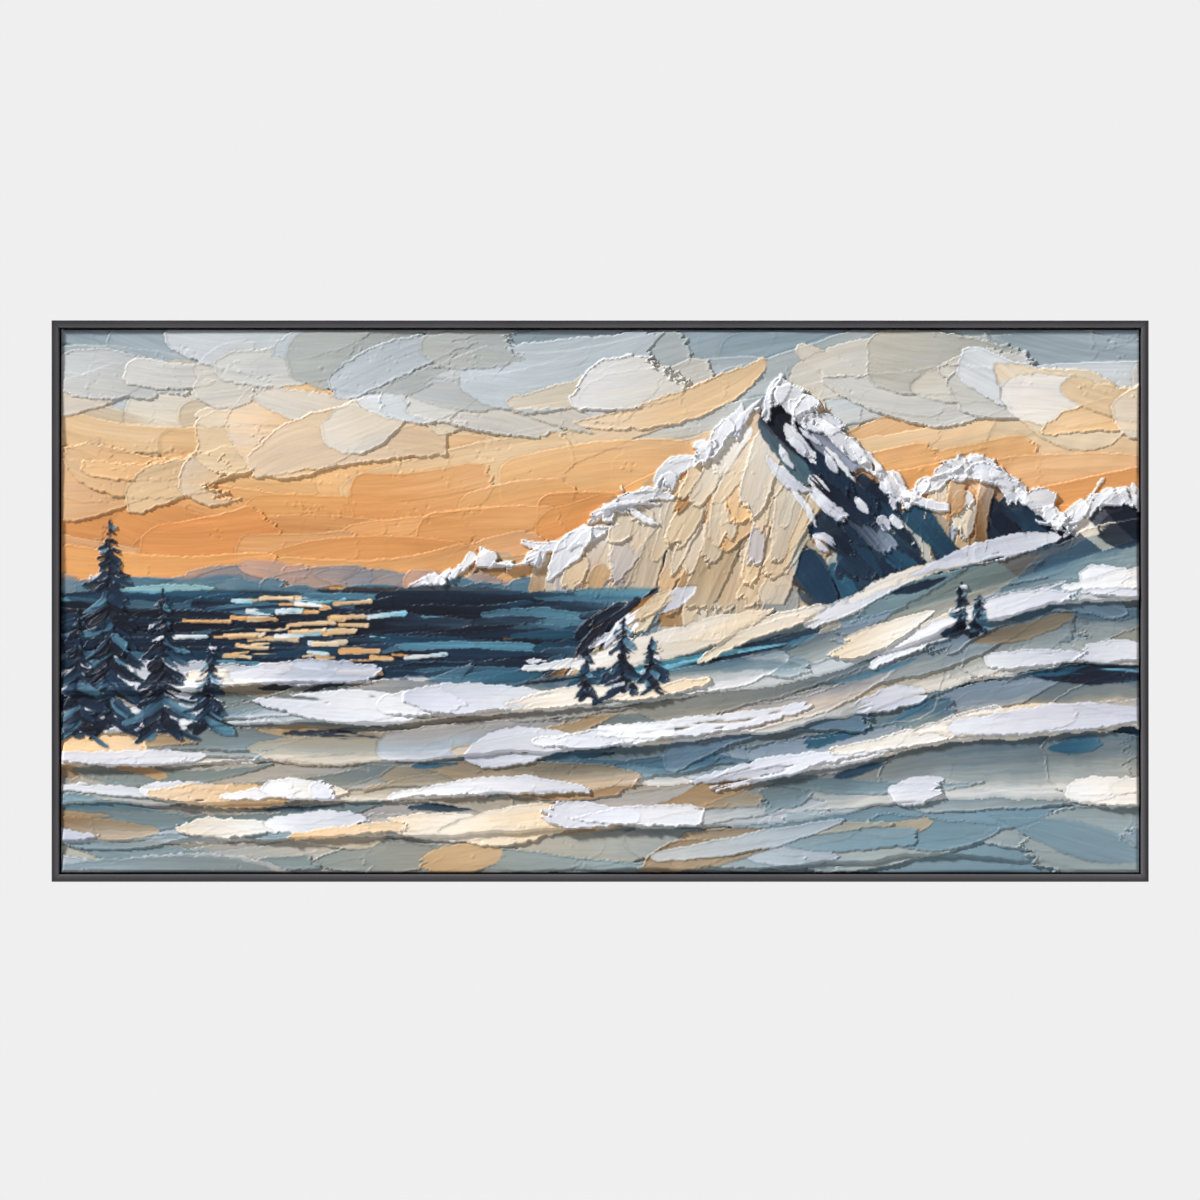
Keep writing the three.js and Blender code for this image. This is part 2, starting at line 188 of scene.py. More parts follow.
def noise_tile(seed, slope):
    """A square of noise that repeats without a seam. A higher slope makes it smoother."""
    white = np.random.default_rng(seed).standard_normal((TILE, TILE))
    up = np.fft.fftfreq(TILE)[:, None]
    across = np.fft.fftfreq(TILE)[None, :]
    rate = np.hypot(up, across)
    rate[0, 0] = 1
    shaped = np.fft.ifft2(np.fft.fft2(white) / rate**slope).real
    shaped -= shaped.mean()
    return (shaped / shaped.std()).astype(np.float32)


ROUGH = noise_tile(3, 1.0)
SOFT = noise_tile(5, 1.8)


def sample(tile, a, b):
    """The tile's value at (a, b), counted in its cells."""
    low_a = np.floor(a).astype(np.int32)
    low_b = np.floor(b).astype(np.int32)
    part_a = (a - low_a).astype(np.float32)
    part_b = (b - low_b).astype(np.float32)
    low_a %= TILE
    low_b %= TILE
    high_a = (low_a + 1) % TILE
    high_b = (low_b + 1) % TILE
    low = tile[low_a, low_b] * (1 - part_b) + tile[low_a, high_b] * part_b
    high = tile[high_a, low_b] * (1 - part_b) + tile[high_a, high_b] * part_b
    return low * (1 - part_a) + high * part_a


def blurred(grid, reach):
    """The grid smoothed with a bell curve. Its reach is in cells."""
    span = int(3 * reach)
    curve = np.exp(-0.5 * (np.arange(-span, span + 1) / reach) ** 2)
    curve /= curve.sum()
    for axis in (0, 1):
        margins = [(span, span) if side == axis else (0, 0) for side in (0, 1)]
        padded = np.pad(grid, margins, mode="edge")
        grid = np.apply_along_axis(np.convolve, axis, padded, curve, mode="valid")
    return grid


# The picture's lines

def wave(form, x):
    height, rate, start = form
    return height * np.sin(rate * x + start)


def skyline(u):
    """The mountains' outline: the highest of the peaks' falls, with small notches."""
    tops = [top - np.where(u < at, left * (at - u), right * (u - at)) for at, top, left, right in PEAKS]
    return np.max(tops, axis=0) + sum(wave(notch, u) for notch in CREST_NOTCHES)


def shore_at(w):
    return SHORE_RIGHT - SHORE_LEAN * (HORIZON - w) + wave(SHORE_WAVE, w)


def slope_top(u):
    """The snow slopes' top edge: low at the left, and rising in a hollow curve to the right."""
    return SLOPE_LEFT + SLOPE_RISE * np.maximum(0, u + 0.5) ** SLOPE_HOLLOW + wave(SLOPE_WAVE, u)


def slope_line(u, share):
    """The slopes' guide lines, from the picture's lower edge at 0 to the slopes' top edge at 1."""
    return -0.5 + share * (slope_top(u) + 0.5)


def sheet_sway(u, w):
    """How far the sheets' edges stray from the guide lines, counted in sheets."""
    return SHEET_SWAY * sample(SOFT, u * 110 + 90, w * 34 + 20)


def sheet_place(u, w):
    """How far up the slopes a point is, counted in sheets, with torn and swaying lower edges."""
    torn = SHEET_TEAR * sample(ROUGH, u * WIDTH / 5, w * HEIGHT / 5)
    return SHEETS * (w + 0.5) / (slope_top(u) + 0.5) + sheet_sway(u, w) + torn


def sheet_swell(u, sheet):
    """How thick a sheet's lower lip is, from 0 where it fades away to 1."""
    return smooth(-0.9, 0.6, np.sin(9 * u + 2.4 * sheet) + 0.6 * np.sin(23 * u + 1.7 * sheet))


def sheet_line(u, place):
    """The height at which a place that is counted in sheets lies. Three tries settle it."""
    w = slope_line(u, place / SHEETS)
    for _ in range(3):
        w = slope_line(u, (place - sheet_sway(u, w)) / SHEETS)
    return w


# The colours under the strokes

def sky_colours(u, w):
    """Orange over the horizon, through peach and cream to grey, warmest near the sun."""
    drift = sample(SOFT, u * 90 + 40, w * 60 + 10) + 0.25 * sample(ROUGH, u * 40, w * 300)
    glow = np.exp(-(((u - SUN) / 0.34) ** 2))
    level = (w - HORIZON) / (0.5 - HORIZON) + 0.08 * drift - 0.06 * glow + 0.04
    stops = (
        (0.0, PEACH),
        (0.10, ORANGE),
        (0.28, mixed(ORANGE, DEEP_ORANGE, 0.45)),
        (0.40, ORANGE),
        (0.54, PEACH),
        (0.68, CREAM),
        (0.82, PALE_GREY),
        (1.0, SKY_GREY),
    )
    return ramp(stops, level)


def mountain_colours(u, w):
    """Warm white on the faces that look left, and teal to navy on those that look right."""
    colours = np.zeros(np.shape(u) + (3,), np.float32) + MIST
    for at, top, left, right in sorted(PEAKS, key=lambda peak: peak[1]):
        depth = top - w
        spur = at + SPUR_LEAN * depth + wave(SPUR_WAVE, depth + at)
        lit = ramp(((0, WHITE), (0.12, CREAM), (0.24, SAND), (0.36, OCHRE), (0.48, MIST)), depth)
        dark = ramp(((0, TEAL), (0.06, NAVY), (0.22, DEEP), (0.34, TEAL), (0.45, STEEL)), depth)
        face = np.where((u < spur)[..., None], lit, dark)
        inside = (depth > 0) & (u > at - depth / left) & (u < at + depth / right)
        colours = np.where(inside[..., None], face, colours)
    return colours


def lake_colours(u, w):
    depth = HORIZON - w + 0.004 * sample(SOFT, u * 70, w * 300)
    stops = ((0, STEEL), (0.015, TEAL), (0.04, NAVY), (0.12, DEEP), (0.19, TEAL))
    return ramp(stops, depth)


def slope_colours(u, w):
    """Each sheet is white at its lower lip and turns to grey, steel and teal under the next one."""
    place = sheet_place(u, w)
    sheet = np.floor(place)
    streaks = sample(ROUGH, u * 34, place * 40)
    up = place - sheet + 0.07 * streaks
    cool = smooth(-0.45, 0.2, u + 0.3 * np.sin(3.1 * sheet + 1 + 4 * u))
    warm = 0.5 + 0.5 * np.sin(9 * u + 2.1 * sheet)
    lip = mixed(WHITE, CREAM, (0.5 * warm)[..., None])
    belly = mixed(MIST, mixed(SAND, PEACH, 0.4), (warm * warm)[..., None])
    hollow = mixed(mixed(OCHRE, MIST, 0.4), mixed(TEAL, NAVY, 0.45), cool[..., None])
    first = mixed(lip, belly, smooth(0.05, 0.45, up)[..., None])
    colours = mixed(first, hollow, smooth(0.35, 0.85, up)[..., None])
    low = ramp(((-0.5, MIST), (-0.15, SAND), (0.15, MIST), (0.5, mixed(MIST, STEEL, 0.4))), u)
    return mixed(colours, low, smooth(1.3, 0.7, place)[..., None])


def underpainting():
    """The picture's broad areas of colour on the grid, before any stroke."""
    u = (np.arange(COLUMNS) / (COLUMNS - 1) - 0.5)[None, :] * np.ones((ROWS, 1))
    w = (np.arange(ROWS) / (ROWS - 1) - 0.5)[:, None] * np.ones((1, COLUMNS))
    colours = sky_colours(u, w)
    land = (w < skyline(u))[..., None]
    colours = np.where(land, mountain_colours(u, w), colours)
    water = ((w < HORIZON) & (u < shore_at(w)))[..., None]
    colours = np.where(water, lake_colours(u, w), colours)
    snow = (w < slope_top(u))[..., None]
    return np.where(snow, slope_colours(u, w), colours).astype(np.float32)


# The paint and the knife

FIRST_COAT = 0.4
# How much painted shade darkens the colour in the crease just outside each stroke's edge
CREASE_SHADE = 0.12
WANDER = 0.1
WIDE_STROKE = 40
SQUEEZE = 0.22
HOLD = 0.35
PULL = 0.12
GRADE = 0.6
BEAD_WIDTH = 1.3
LIP_WIDTH = 2.4


def pressed(under, mask, s, v):
    """What the knife rides on: the plane that fits the paint beneath it, with some of its relief."""
    mean = (under * mask).sum() / mask.sum()
    rise = (under - mean) * mask
    along = (rise * s).sum() / ((s * s * mask).sum() + 1)
    across = (rise * v).sum() / ((v * v * mask).sum() + 1)
    plane = mean + along * s + across * v
    return plane + (under - plane) * HOLD


class Painting:
    """The paint's height in mm, its colour, and where each point lies in the stroke on top."""

    def __init__(self, draw):
        self.draw = draw
        self.x = np.linspace(-WIDTH / 2, WIDTH / 2, COLUMNS, dtype=np.float32)
        self.z = np.linspace(-HEIGHT / 2, HEIGHT / 2, ROWS, dtype=np.float32)
        shape = (ROWS, COLUMNS)
        self.height = np.full(shape, FIRST_COAT, np.float32)
        self.below = underpainting()
        self.colour = self.below.copy()
        self.along = np.zeros(shape, np.float32)
        self.across = np.zeros(shape, np.float32)
        self.mark = np.zeros(shape, np.int32)
        self.count = 0

    def window(self, x, z, reach):
        """The rows and columns within reach of a point, or None if it is off the picture."""
        first_column = max(0, int((x - reach + WIDTH / 2) / CELL))
        last_column = min(COLUMNS, int((x + reach + WIDTH / 2) / CELL) + 2)
        first_row = max(0, int((z - reach + HEIGHT / 2) / CELL))
        last_row = min(ROWS, int((z + reach + HEIGHT / 2) / CELL) + 2)
        if first_column >= last_column or first_row >= last_row:
            return None
        return slice(first_row, last_row), slice(first_column, last_column)

    def lay(self, x, z, heading, length, width, bend, thick, colours, own=1.0, bead=0.7, lip=0.8,
            rag=1.0, jag=0.25, dry=0.0, contrast=0.5, lean=0.0, taper=0.0, corner=0.45, sway=0.1,
            leaf=0.0, tear=0.0):
        """One stroke of the knife. The heading and the bend over its length are in degrees.

        own is the share of the stroke's own pigments over the underpainting's. bead is the ridge at
        its sides, lip the one where the knife lifts, and rag and jag how torn its sides and ends are.
        dry is how soon the paint runs out, lean how much thicker its left side is, leaf how much it
        narrows to both ends, and tear how deep its outline is scalloped, in mm.
        """
        self.count += 1
        starts = [self.draw() * TILE for _ in range(4)]
        start_a, start_b, start_c, start_d = starts
        half_length = length / 2
        half_width = width / 2
        win = self.window(x, z, math.hypot(half_length, half_width) * 1.12 + 4)
        if win is None:
            return
        s, v = self.along_and_across(win, x, z, heading, length, bend)
        wander = WANDER * min(width, WIDE_STROKE)
        s = s + wander * sample(SOFT, s / 16 + start_c, v / 16 + start_b)
        v = v + wander * sample(SOFT, s / 16 + start_a, v / 16 + start_d)
        if tear > 0:
            v = v + tear * sample(SOFT, s / 5 + start_b, np.sign(v) * 7 + start_a) * np.sign(v)
            s = s + tear * sample(SOFT, v / 5 + start_c, np.sign(s) * 7 + start_d)
        mask, side, end, inside = self.outline(s, v, half_length, half_width, rag, jag, taper, leaf,
                                               corner, sway, starts)
        if dry > 0:
            gaps = sample(ROUGH, s / 16 + start_b, v / 1.3 + start_c)
            late = smooth(0.15, 1.0, (s + half_length) / length)
            mask = mask * (1 - smooth(0.0, 0.5, gaps - 1.6 + 2.6 * dry * late))
        if mask.max() < 0.05:
            return
        under = self.height[win] * (1 - SQUEEZE * mask)
        body = 0.4 + 0.6 * smooth(0, 0.35, (s + half_length) / length)
        grooves = sample(ROUGH, s / 40 + start_d, v / 1.1 + start_a)
        unevenness = 0.75 + 0.35 * sample(SOFT, s / 9 + start_b, start_c + np.sign(v) * 3)
        edge = np.exp(-((np.minimum(side, inside) / BEAD_WIDTH) ** 2)) * unevenness
        front = np.exp(-((end / LIP_WIDTH) ** 2))
        body = body + lean * v / half_width
        top = pressed(under, mask, s, v) + thick * body + 1.3 * bead * edge + lip * front + 0.08 * grooves
        cover = mask * smooth(-0.12, 0.18, top - under)
        self.height[win] = under + (top - under) * cover

        streak = sample(ROUGH, s / 30 + start_a, v / 1.5 + start_c)
        paint = self.pigment(win, s, v, half_length, streak, colours, own, contrast, starts)
        # Random tone along the streaks, and a painted highlight: the stroke's raised side ridges and lip are
        # painted lighter, as where light catches them
        paint = paint * (1 + 0.03 * streak + 0.025 * edge + 0.03 * front)[..., None]
        # Painted shade: the colour just outside the stroke's edge is darkened, where the crease beside the
        # raised paint falls in shade
        crease_shade = np.exp(-((np.maximum(-inside, 0) / BEAD_WIDTH) ** 2)) * (1 - mask)
        here = self.colour[win] * (1 - CREASE_SHADE * crease_shade[..., None])
        taken = PULL * (0.6 + 0.4 * np.clip(streak, -1, 1))[..., None]
        paint = mixed(paint, here, taken)
        self.colour[win] = mixed(here, paint, cover[..., None])
        solid = cover > 0.5
        self.along[win][solid] = s[solid]
        self.across[win][solid] = v[solid]
        self.mark[win][solid] = self.count

    def along_and_across(self, win, x, z, heading, length, bend):
        """How far along a stroke that may bend, and how far across it, each point of a window lies."""
        dx, dz = np.meshgrid(self.x[win[1]] - x, self.z[win[0]] - z)
        cosine = math.cos(math.radians(heading))
        sine = math.sin(math.radians(heading))
        s = dx * cosine + dz * sine
        v = dz * cosine - dx * sine
        if abs(bend) > 0.5:
            radius = length / math.radians(bend)
            turn = 1 if radius > 0 else -1
            from_middle = np.hypot(s, v - radius)
            s = radius * np.arctan2(s * turn, (radius - v) * turn)
            v = radius - turn * from_middle
        return s, v

    def pigment(self, win, s, v, half_length, streak, colours, own, contrast, starts):
        """The stroke's own colour: from the first to the second, in streaks, and thin ones of a third."""
        broad = sample(SOFT, s / 45 + starts[1], v / 7 + starts[3])
        share = 0.5 + 0.5 * GRADE * s / half_length + contrast * (0.3 * streak + 0.5 * broad)
        paint = mixed(colours[0], colours[1], np.clip(share, 0, 1)[..., None])
        if own < 1:
            paint = mixed(self.below[win], paint, own)
        if len(colours) > 2:
            thin = smooth(1.0, 1.7, sample(ROUGH, s / 50 + starts[2], v / 1.8 + starts[1]))
            paint = mixed(paint, colours[2], thin[..., None])
        return paint

    def outline(self, s, v, half_length, half_width, rag, jag, taper, leaf, corner, sway, starts):
        """The stroke's torn outline: its mask, and the distances in mm to its side, end and edge."""
        start_a, start_b, start_c, start_d = starts
        sways = sample(SOFT, s / 11 + start_a, np.sign(v) * 5 + start_b)
        along = s / half_length
        reach = half_width * (1 + sway * sways) * (1 + taper * along) * (1 - leaf * along * along)
        torn = sample(ROUGH, s / 2.2 + start_c, v / 2.2 + start_d)
        fine_comb = sample(ROUGH, np.full_like(s, start_a), v / 1.6 + start_b)
        broad_comb = sample(SOFT, np.full_like(s, start_c), v / 2.4 + start_d)
        depth = jag * min(2 * half_width, WIDE_STROKE)
        side = reach - np.abs(v) + rag * 0.55 * torn
        bulge = 0.22 * v * v / half_width
        start = s + half_length + depth * 0.6 * broad_comb + rag * 0.4 * torn - bulge
        end = half_length - s + depth * (0.35 * fine_comb + 0.65 * broad_comb) + rag * 0.5 * torn - bulge
        ends = np.minimum(start, end)
        round_size = corner * half_width
        past_side = np.maximum(round_size - side, 0)
        past_end = np.maximum(round_size * 1.3 - ends, 0) / 1.3
        inside = np.minimum(np.minimum(side, ends), round_size - np.hypot(past_side, past_end))
        return smooth(-0.6, 0.7, inside), side, end, inside

    def dot(self, x, z, radius, rise):
        """A crumb of paint, or a pit where rise is below 0."""
        win = self.window(x, z, 2.2 * radius)
        if win is None:
            return
        dx, dz = np.meshgrid(self.x[win[1]] - x, self.z[win[0]] - z)
        self.height[win] += rise * np.exp(-((dx * dx + dz * dz) / radius**2))


# The picture, stroke by stroke

def sky(p, draw):
    """Broad strokes in rows from the top down to the horizon."""
    for row in range(10):
        row_height = 0.50 - row * 0.053
        u = -0.53 + 0.06 * draw()
        while u < 0.56:
            length = draw(120, 290)
            w = row_height + draw(-0.02, 0.02)
            tint = draw()
            last = SKY_GREY if w > 0.3 else DEEP_ORANGE
            other = picked(tint, (0.2, WHITE), (0.5, CREAM), (1, last))
            base = sky_colours(u + draw(-0.04, 0.04), w + draw(-0.05, 0.05))
            p.lay(u * WIDTH, w * HEIGHT, draw(-9, 13) + 12 * math.sin(5 * u + 1), length, draw(38, 70),
                  draw(-30, 30), draw(0.8, 1.7), (base, mixed(base, other, 0.35)), own=0.7, bead=0.6,
                  jag=0.3, taper=draw(-0.25, 0.25), sway=0.14)
            u += length / WIDTH * 0.6


def clouds(p, draw):
    """Banks of thick, torn and curling plates."""
    for start, end, rise, count, spread, thick in CLOUD_BANKS:
        across = (end[0] - start[0]) * WIDTH
        slope = math.degrees(math.atan2((end[1] - start[1]) * HEIGHT, across))
        for i in range(count):
            share = (i + draw() * 0.8) / count
            u = mixed(start[0], end[0], share)
            w = mixed(start[1], end[1], share) + rise * math.sin(math.pi * share)
            w += draw(-1, 1) * spread
            base = sky_colours(u, w + draw(-0.08, 0.02))
            light = mixed(base, WHITE if draw() < 0.6 else CREAM, draw(0.3, 0.8))
            bend = draw(5, 42) * (1 if draw() < 0.65 else -1)
            p.lay(u * WIDTH, w * HEIGHT, slope + draw(-20, 20), draw(90, 210), draw(36, 76), bend,
                  draw(0.6, 1.1) * thick, (light, mixed(base, SAND, draw(0, 0.3))), bead=1.0, lip=1.6,
                  rag=2.4, jag=0.9, contrast=0.4, taper=draw(-0.6, 0.6), corner=0.6, sway=0.3, leaf=0.4,
                  tear=draw(1.0, 4.0))


def far_hills(p, draw):
    """Two low rows beyond the lake."""
    rows = (
        (0.050, 0.018, mixed(MAUVE, PEACH, 0.3), mixed(STEEL, MAUVE, 0.5)),
        (0.030, 0.012, mixed(STEEL, MAUVE, 0.2), mixed(TEAL, STEEL, 0.5)),
    )
    for layer, (level, swell, first, second) in enumerate(rows):
        u = -0.52
        while u < 0.10:
            w = level + swell * math.sin(17 * u + layer * 2) + draw(-0.004, 0.004)
            p.lay(u * WIDTH, w * HEIGHT - 9, draw(-10, 10), draw(50, 110), draw(18, 26), draw(-30, 10),
                  draw(0.8, 1.4), (first, second), lip=0.9, contrast=0.6, jag=1.0, leaf=0.5, sway=0.2)
            u += 0.024


def downwards(u, w, heading, length):
    """The middle of a stroke that starts at (u, w), in mm."""
    turn = math.radians(heading)
    return u * WIDTH + length / 2 * math.cos(turn), w * HEIGHT + length / 2 * math.sin(turn)


def face_stroke(p, draw, u, w, lit, high):
    """One stroke down a mountain's face. high is 1 at its top and 0 at its foot."""
    tint = draw()
    if lit:
        heading = -122 + 30 * draw()
        shade = ramp(((0, MIST), (0.3, SAND), (0.55, WARM_WHITE), (1, WHITE)),
                     high + draw(-0.25, 0.25))
        other = picked(tint, (0.3, WARM_WHITE), (0.6, CREAM), (0.75, PEACH), (0.9, OCHRE), (1, LILAC))
    else:
        heading = -64 + 28 * draw()
        shade = ramp(((0, STEEL), (0.25, TEAL), (0.5, DEEP), (1, NAVY)), high + draw(-0.3, 0.3))
        other = picked(tint, (0.45, NAVY), (0.75, DEEP), (0.93, TEAL), (1, LILAC))
    length = draw(36, 92)
    x, z = downwards(u, w, heading, length)
    p.lay(x, z, heading, length, draw(15, 34), draw(-30, 30), draw(1.0, 2.4), (shade, other), own=0.8,
          bead=0.9, lip=1.5, rag=1.6, jag=0.7, taper=draw(-0.5, 0.3), corner=0.7, sway=0.18)


def mountains(p, draw):
    """Each peak in turn, the low ones first, and each from its foot upwards."""
    levels = 15
    foot = -0.10
    for at, top, left, right in sorted(PEAKS, key=lambda peak: peak[1]):
        for level in range(levels, -1, -1):
            depth = 0.03 + level * (top - foot) / levels
            w = top - depth
            spur = at + SPUR_LEAN * depth + wave(SPUR_WAVE, depth + at)
            u = at - depth / left + 0.014
            while u < at + depth / right - 0.014:
                if w > slope_top(u) - 0.04 and (w > HORIZON + 0.06 or u > shore_at(w - 0.06)):
                    face_stroke(p, draw, u, w, u < spur, 1 - depth / (top - foot))
                u += draw(0.014, 0.026)


def ridges(p, draw):
    """Thick snow along the mountains' outline."""
    for at, top, left, right in sorted(PEAKS, key=lambda peak: peak[1]):
        for side, fall in ((-1, left), (1, right)):
            span = 0.2 if top > 0.25 else 0.12
            for i in range(int(span / 0.009)):
                away = i * 0.009 + 0.004 * draw()
                u = at + side * away
                w = top - fall * away
                if skyline(u) > w + 0.02 or w < HORIZON:
                    continue
                slope = math.degrees(math.atan2(fall * HEIGHT, WIDTH))
                heading = (180 + slope if side < 0 else -slope) + draw(-40, 40)
                size = 0.5 + 1.25 * top
                p.lay(u * WIDTH, w * HEIGHT - 6, heading, draw(24, 66) * size, draw(9, 26) * size,
                      draw(-60, 60), draw(2.0, 5.0), (WHITE, mixed(WHITE, LILAC, 0.5)), bead=1.2, lip=2.4,
                      rag=2.4, jag=1.3, contrast=0.35, corner=0.5, sway=0.35, taper=draw(-0.3, 0.8),
                      leaf=0.3)


def broken_snow(p, draw):
    """Dry streaks of snow on the dark faces."""
    for _ in range(36):
        at, top, _, right = PEAKS[0] if draw() < 0.5 else PEAKS[int(draw() * len(PEAKS))]
        depth = 0.05 + 0.26 * draw()
        u = at + draw(0.0, 0.8) * depth / right
        w = top - depth - 0.02
        if w < max(HORIZON, slope_top(u)):
            continue
        p.lay(u * WIDTH, w * HEIGHT, -64 + 28 * draw(), draw(16, 50), draw(6, 14), draw(-40, 40),
              draw(1.2, 2.6), (WHITE, LILAC), bead=0.8, lip=1.4, rag=2.0, jag=1.3, dry=0.5 * draw(),
              corner=0.6, sway=0.3, leaf=0.6)


def lake(p, draw):
    """Level strokes that end at the shore."""
    for row in range(16):
        w = HORIZON - row * 0.0115 - 0.006
        u = -0.54 + 0.06 * draw()
        while u < 0.04 - row * 0.006:
            length = min(draw(70, 200), 2 * (shore_at(w) - u) * WIDTH + 16)
            if length < 20:
                break
            tint = draw()
            pair = picked(tint, (0.5, (NAVY, DEEP)), (0.75, (TEAL, DEEP)), (0.92, (NAVY, STEEL)),
                          (1, (STEEL, CYAN)))
            streaks = (STEEL,) if tint < 0.3 else ()
            p.lay(u * WIDTH, w * HEIGHT + draw(-3, 3), draw(-5, 5), length, draw(9, 20), draw(-12, 12),
                  draw(0.7, 1.6), pair + streaks, own=0.75, lip=0.6, rag=1.6, jag=1.4, contrast=0.7,
                  leaf=0.6, sway=0.3)
            u += length / WIDTH * 0.55


def glitter(p, draw):
    """The sun's broken track on the lake."""
    count = 60
    for i in range(count):
        u = SUN + draw(-1, 1) * 0.09 * (0.5 + i / count)
        w = HORIZON - 0.012 - 0.15 * draw()
        if w < slope_top(u) + 0.01:
            continue
        pair = picked(draw(), (0.5, (PEACH, CREAM)), (0.8, (ORANGE, PEACH)), (1, (WHITE, CYAN)))
        p.lay(u * WIDTH, w * HEIGHT, draw(-6, 6), draw(16, 60), draw(3, 6), draw(-14, 14), draw(0.8, 1.6),
              pair, bead=0.4, lip=0.6, jag=1.2, dry=0.4)


def along_slope(p, draw, u, place, length, width, thick, colours, stray=0, bow=6, low=0, **finish):
    """One stroke along the sheets' lines, straying from them by up to so many degrees.

    bow is how far it may bend by itself, and low how much thicker its lower side is.
    """
    half = length / 2
    left, middle, right = (sheet_line(u + turn * half / WIDTH, place) * HEIGHT for turn in (-1, 0, 1))
    heading = math.degrees(math.atan2(right - left, length)) + draw(-stray, stray)
    bend = 2 * math.degrees(math.atan2(right - middle, half) - math.atan2(middle - left, half))
    lean = -low
    if draw() < 0.5:
        heading += 180
        lean = low
    p.lay(u * WIDTH, middle, heading, length, width, bend + draw(-bow, bow), thick, colours, lean=lean,
          **finish)


def sheet_height(u):
    """One sheet's height in mm."""
    return (slope_top(u) + 0.5) * HEIGHT / SHEETS


def slopes(p, draw):
    """Long sheets of snow, the lowest first, each lapping the one below with a torn lower lip."""
    for sheet in range(SHEETS):
        u = -0.54 + 0.06 * draw()
        while u < 0.54:
            length = draw(150, 330)
            middle = u + length / WIDTH / 2
            along_slope(p, draw, middle, sheet + 0.5 + draw(-0.1, 0.1), length,
                        sheet_height(min(0.5, middle)) * draw(0.75, 1.1), draw(1.2, 2.4),
                        (WARM_WHITE, mixed(LILAC, MIST, draw())), stray=4, bow=12, own=0.4, bead=1.2,
                        lip=1.8, rag=1.8, jag=0.8, contrast=0.7, taper=draw(-0.4, 0.4), corner=1.0,
                        sway=0.2)
            u += length / WIDTH * draw(0.35, 0.6)
        for _ in range(4):
            along_slope(p, draw, draw(-0.5, 0.5), sheet + draw(0.2, 0.7), draw(180, 360), draw(24, 54),
                        draw(1.2, 2.2), (mixed(WARM_WHITE, MIST, draw()), mixed(STEEL, LILAC, draw())),
                        stray=9, bow=60, low=0.3, own=0.5, bead=1.1, lip=1.8, rag=1.6, jag=0.9,
                        contrast=0.7, taper=draw(-0.8, 0.8), corner=1.0, sway=0.25)
        for _ in range(18):
            u = draw(-0.52, 0.52)
            pair = picked(draw(), (0.3, (WHITE, LILAC)), (0.5, (CREAM, SAND)), (0.85, (MIST, STEEL)),
                          (1, (PEACH, OCHRE)))
            along_slope(p, draw, u, sheet + draw(0.25, 0.75), draw(100, 280),
                        sheet_height(u) * draw(0.3, 0.75), draw(0.8, 1.8), pair, stray=11, bow=40,
                        own=0.5, bead=1.0, lip=1.6, rag=1.8, jag=1.0, taper=draw(-0.7, 0.7), corner=0.7,
                        sway=0.3, leaf=0.7)
        hollows(p, draw, sheet)


def hollows(p, draw, sheet):
    """Dark and cool strokes in the hollow under the next sheet's lip."""
    for _ in range(16 if sheet > 0 else 0):
        u = draw(-0.5, 0.5)
        cool = 0.5 + u + 0.3 * math.sin(3.1 * sheet + 1 + 4 * u)
        if draw() > cool:
            continue
        pair = picked(draw(), (0.4, (NAVY, DEEP)), (0.7, (DEEP, TEAL)), (1, (TEAL, STEEL)))
        streaks = (CYAN,) if draw() < 0.12 else ()
        along_slope(p, draw, u, sheet + draw(0.74, 0.93), draw(60, 220),
                    sheet_height(u) * draw(0.14, 0.34), draw(0.5, 1.2), pair + streaks, stray=5, bow=14,
                    own=0.85, bead=0.5, rag=1.4, jag=1.1, dry=0.4 * draw(), contrast=0.6,
                    taper=draw(-0.7, 0.7), corner=0.7, sway=0.3, leaf=0.7)


def lips(p, draw):
    """Torn curls of white and cream along the sheets' lower edges, thickest at the edge itself."""
    for sheet in range(1, SHEETS + 1):
        u = -0.53
        while u < 0.53:
            pair = picked(draw(), (0.55, (WHITE, LILAC)), (0.85, (WHITE, CREAM)), (1, (WARM_WHITE, PEACH)))
            length = draw(60, 240)
            width = draw(14, 34)
            place = sheet + (0.5 * width + draw(-2, 2)) / sheet_height(min(u, 0.5))
            if draw() < 0.15 + sheet_swell(u, sheet):
                along_slope(p, draw, u, place, length, width, draw(1.4, 3.2), pair, stray=5, bow=14,
                            low=0.5, bead=1.0, lip=1.9, rag=2.4, jag=1.1, dry=0.25 * draw(), contrast=0.4,
                            corner=0.6, sway=0.3, taper=draw(-0.7, 0.7), leaf=0.6)
            u += length / WIDTH * draw(0.25, 0.7)


def shore(p, draw):
    """Dark rock at the water's edge, with broken snow above it, where the mountains meet the lake."""
    along = math.degrees(math.atan2(HEIGHT, SHORE_LEAN * WIDTH))
    for shift, count, pairs in (
        (-0.012, 22, ((NAVY, DEEP), (DEEP, OCHRE))),
        (0.010, 20, ((WHITE, LILAC), (CREAM, SAND))),
    ):
        for _ in range(count):
            w = HORIZON - draw(0.015, 0.17)
            u = shore_at(w) + shift + draw(-0.01, 0.01)
            pair = pairs[0] if draw() < 0.7 else pairs[1]
            p.lay(u * WIDTH, w * HEIGHT, 180 + along + draw(-24, 8), draw(34, 76), draw(7, 13),
                  draw(-12, 12), draw(1.2, 2.4), pair, bead=0.9, lip=1.4, rag=2.0, jag=1.3, corner=0.5,
                  sway=0.3, taper=draw(-0.3, 0.5), leaf=0.7)


PINES = (
    # at, foot, height in mm
    (-0.455, -0.235, 235),
    (-0.405, -0.25, 165),
    (-0.485, -0.25, 140),
    (-0.362, -0.235, 95),
    (-0.012, -0.178, 58),
    (0.022, -0.172, 88),
    (0.048, -0.166, 60),
    (0.335, -0.06, 58),
    (0.352, -0.055, 40),
)


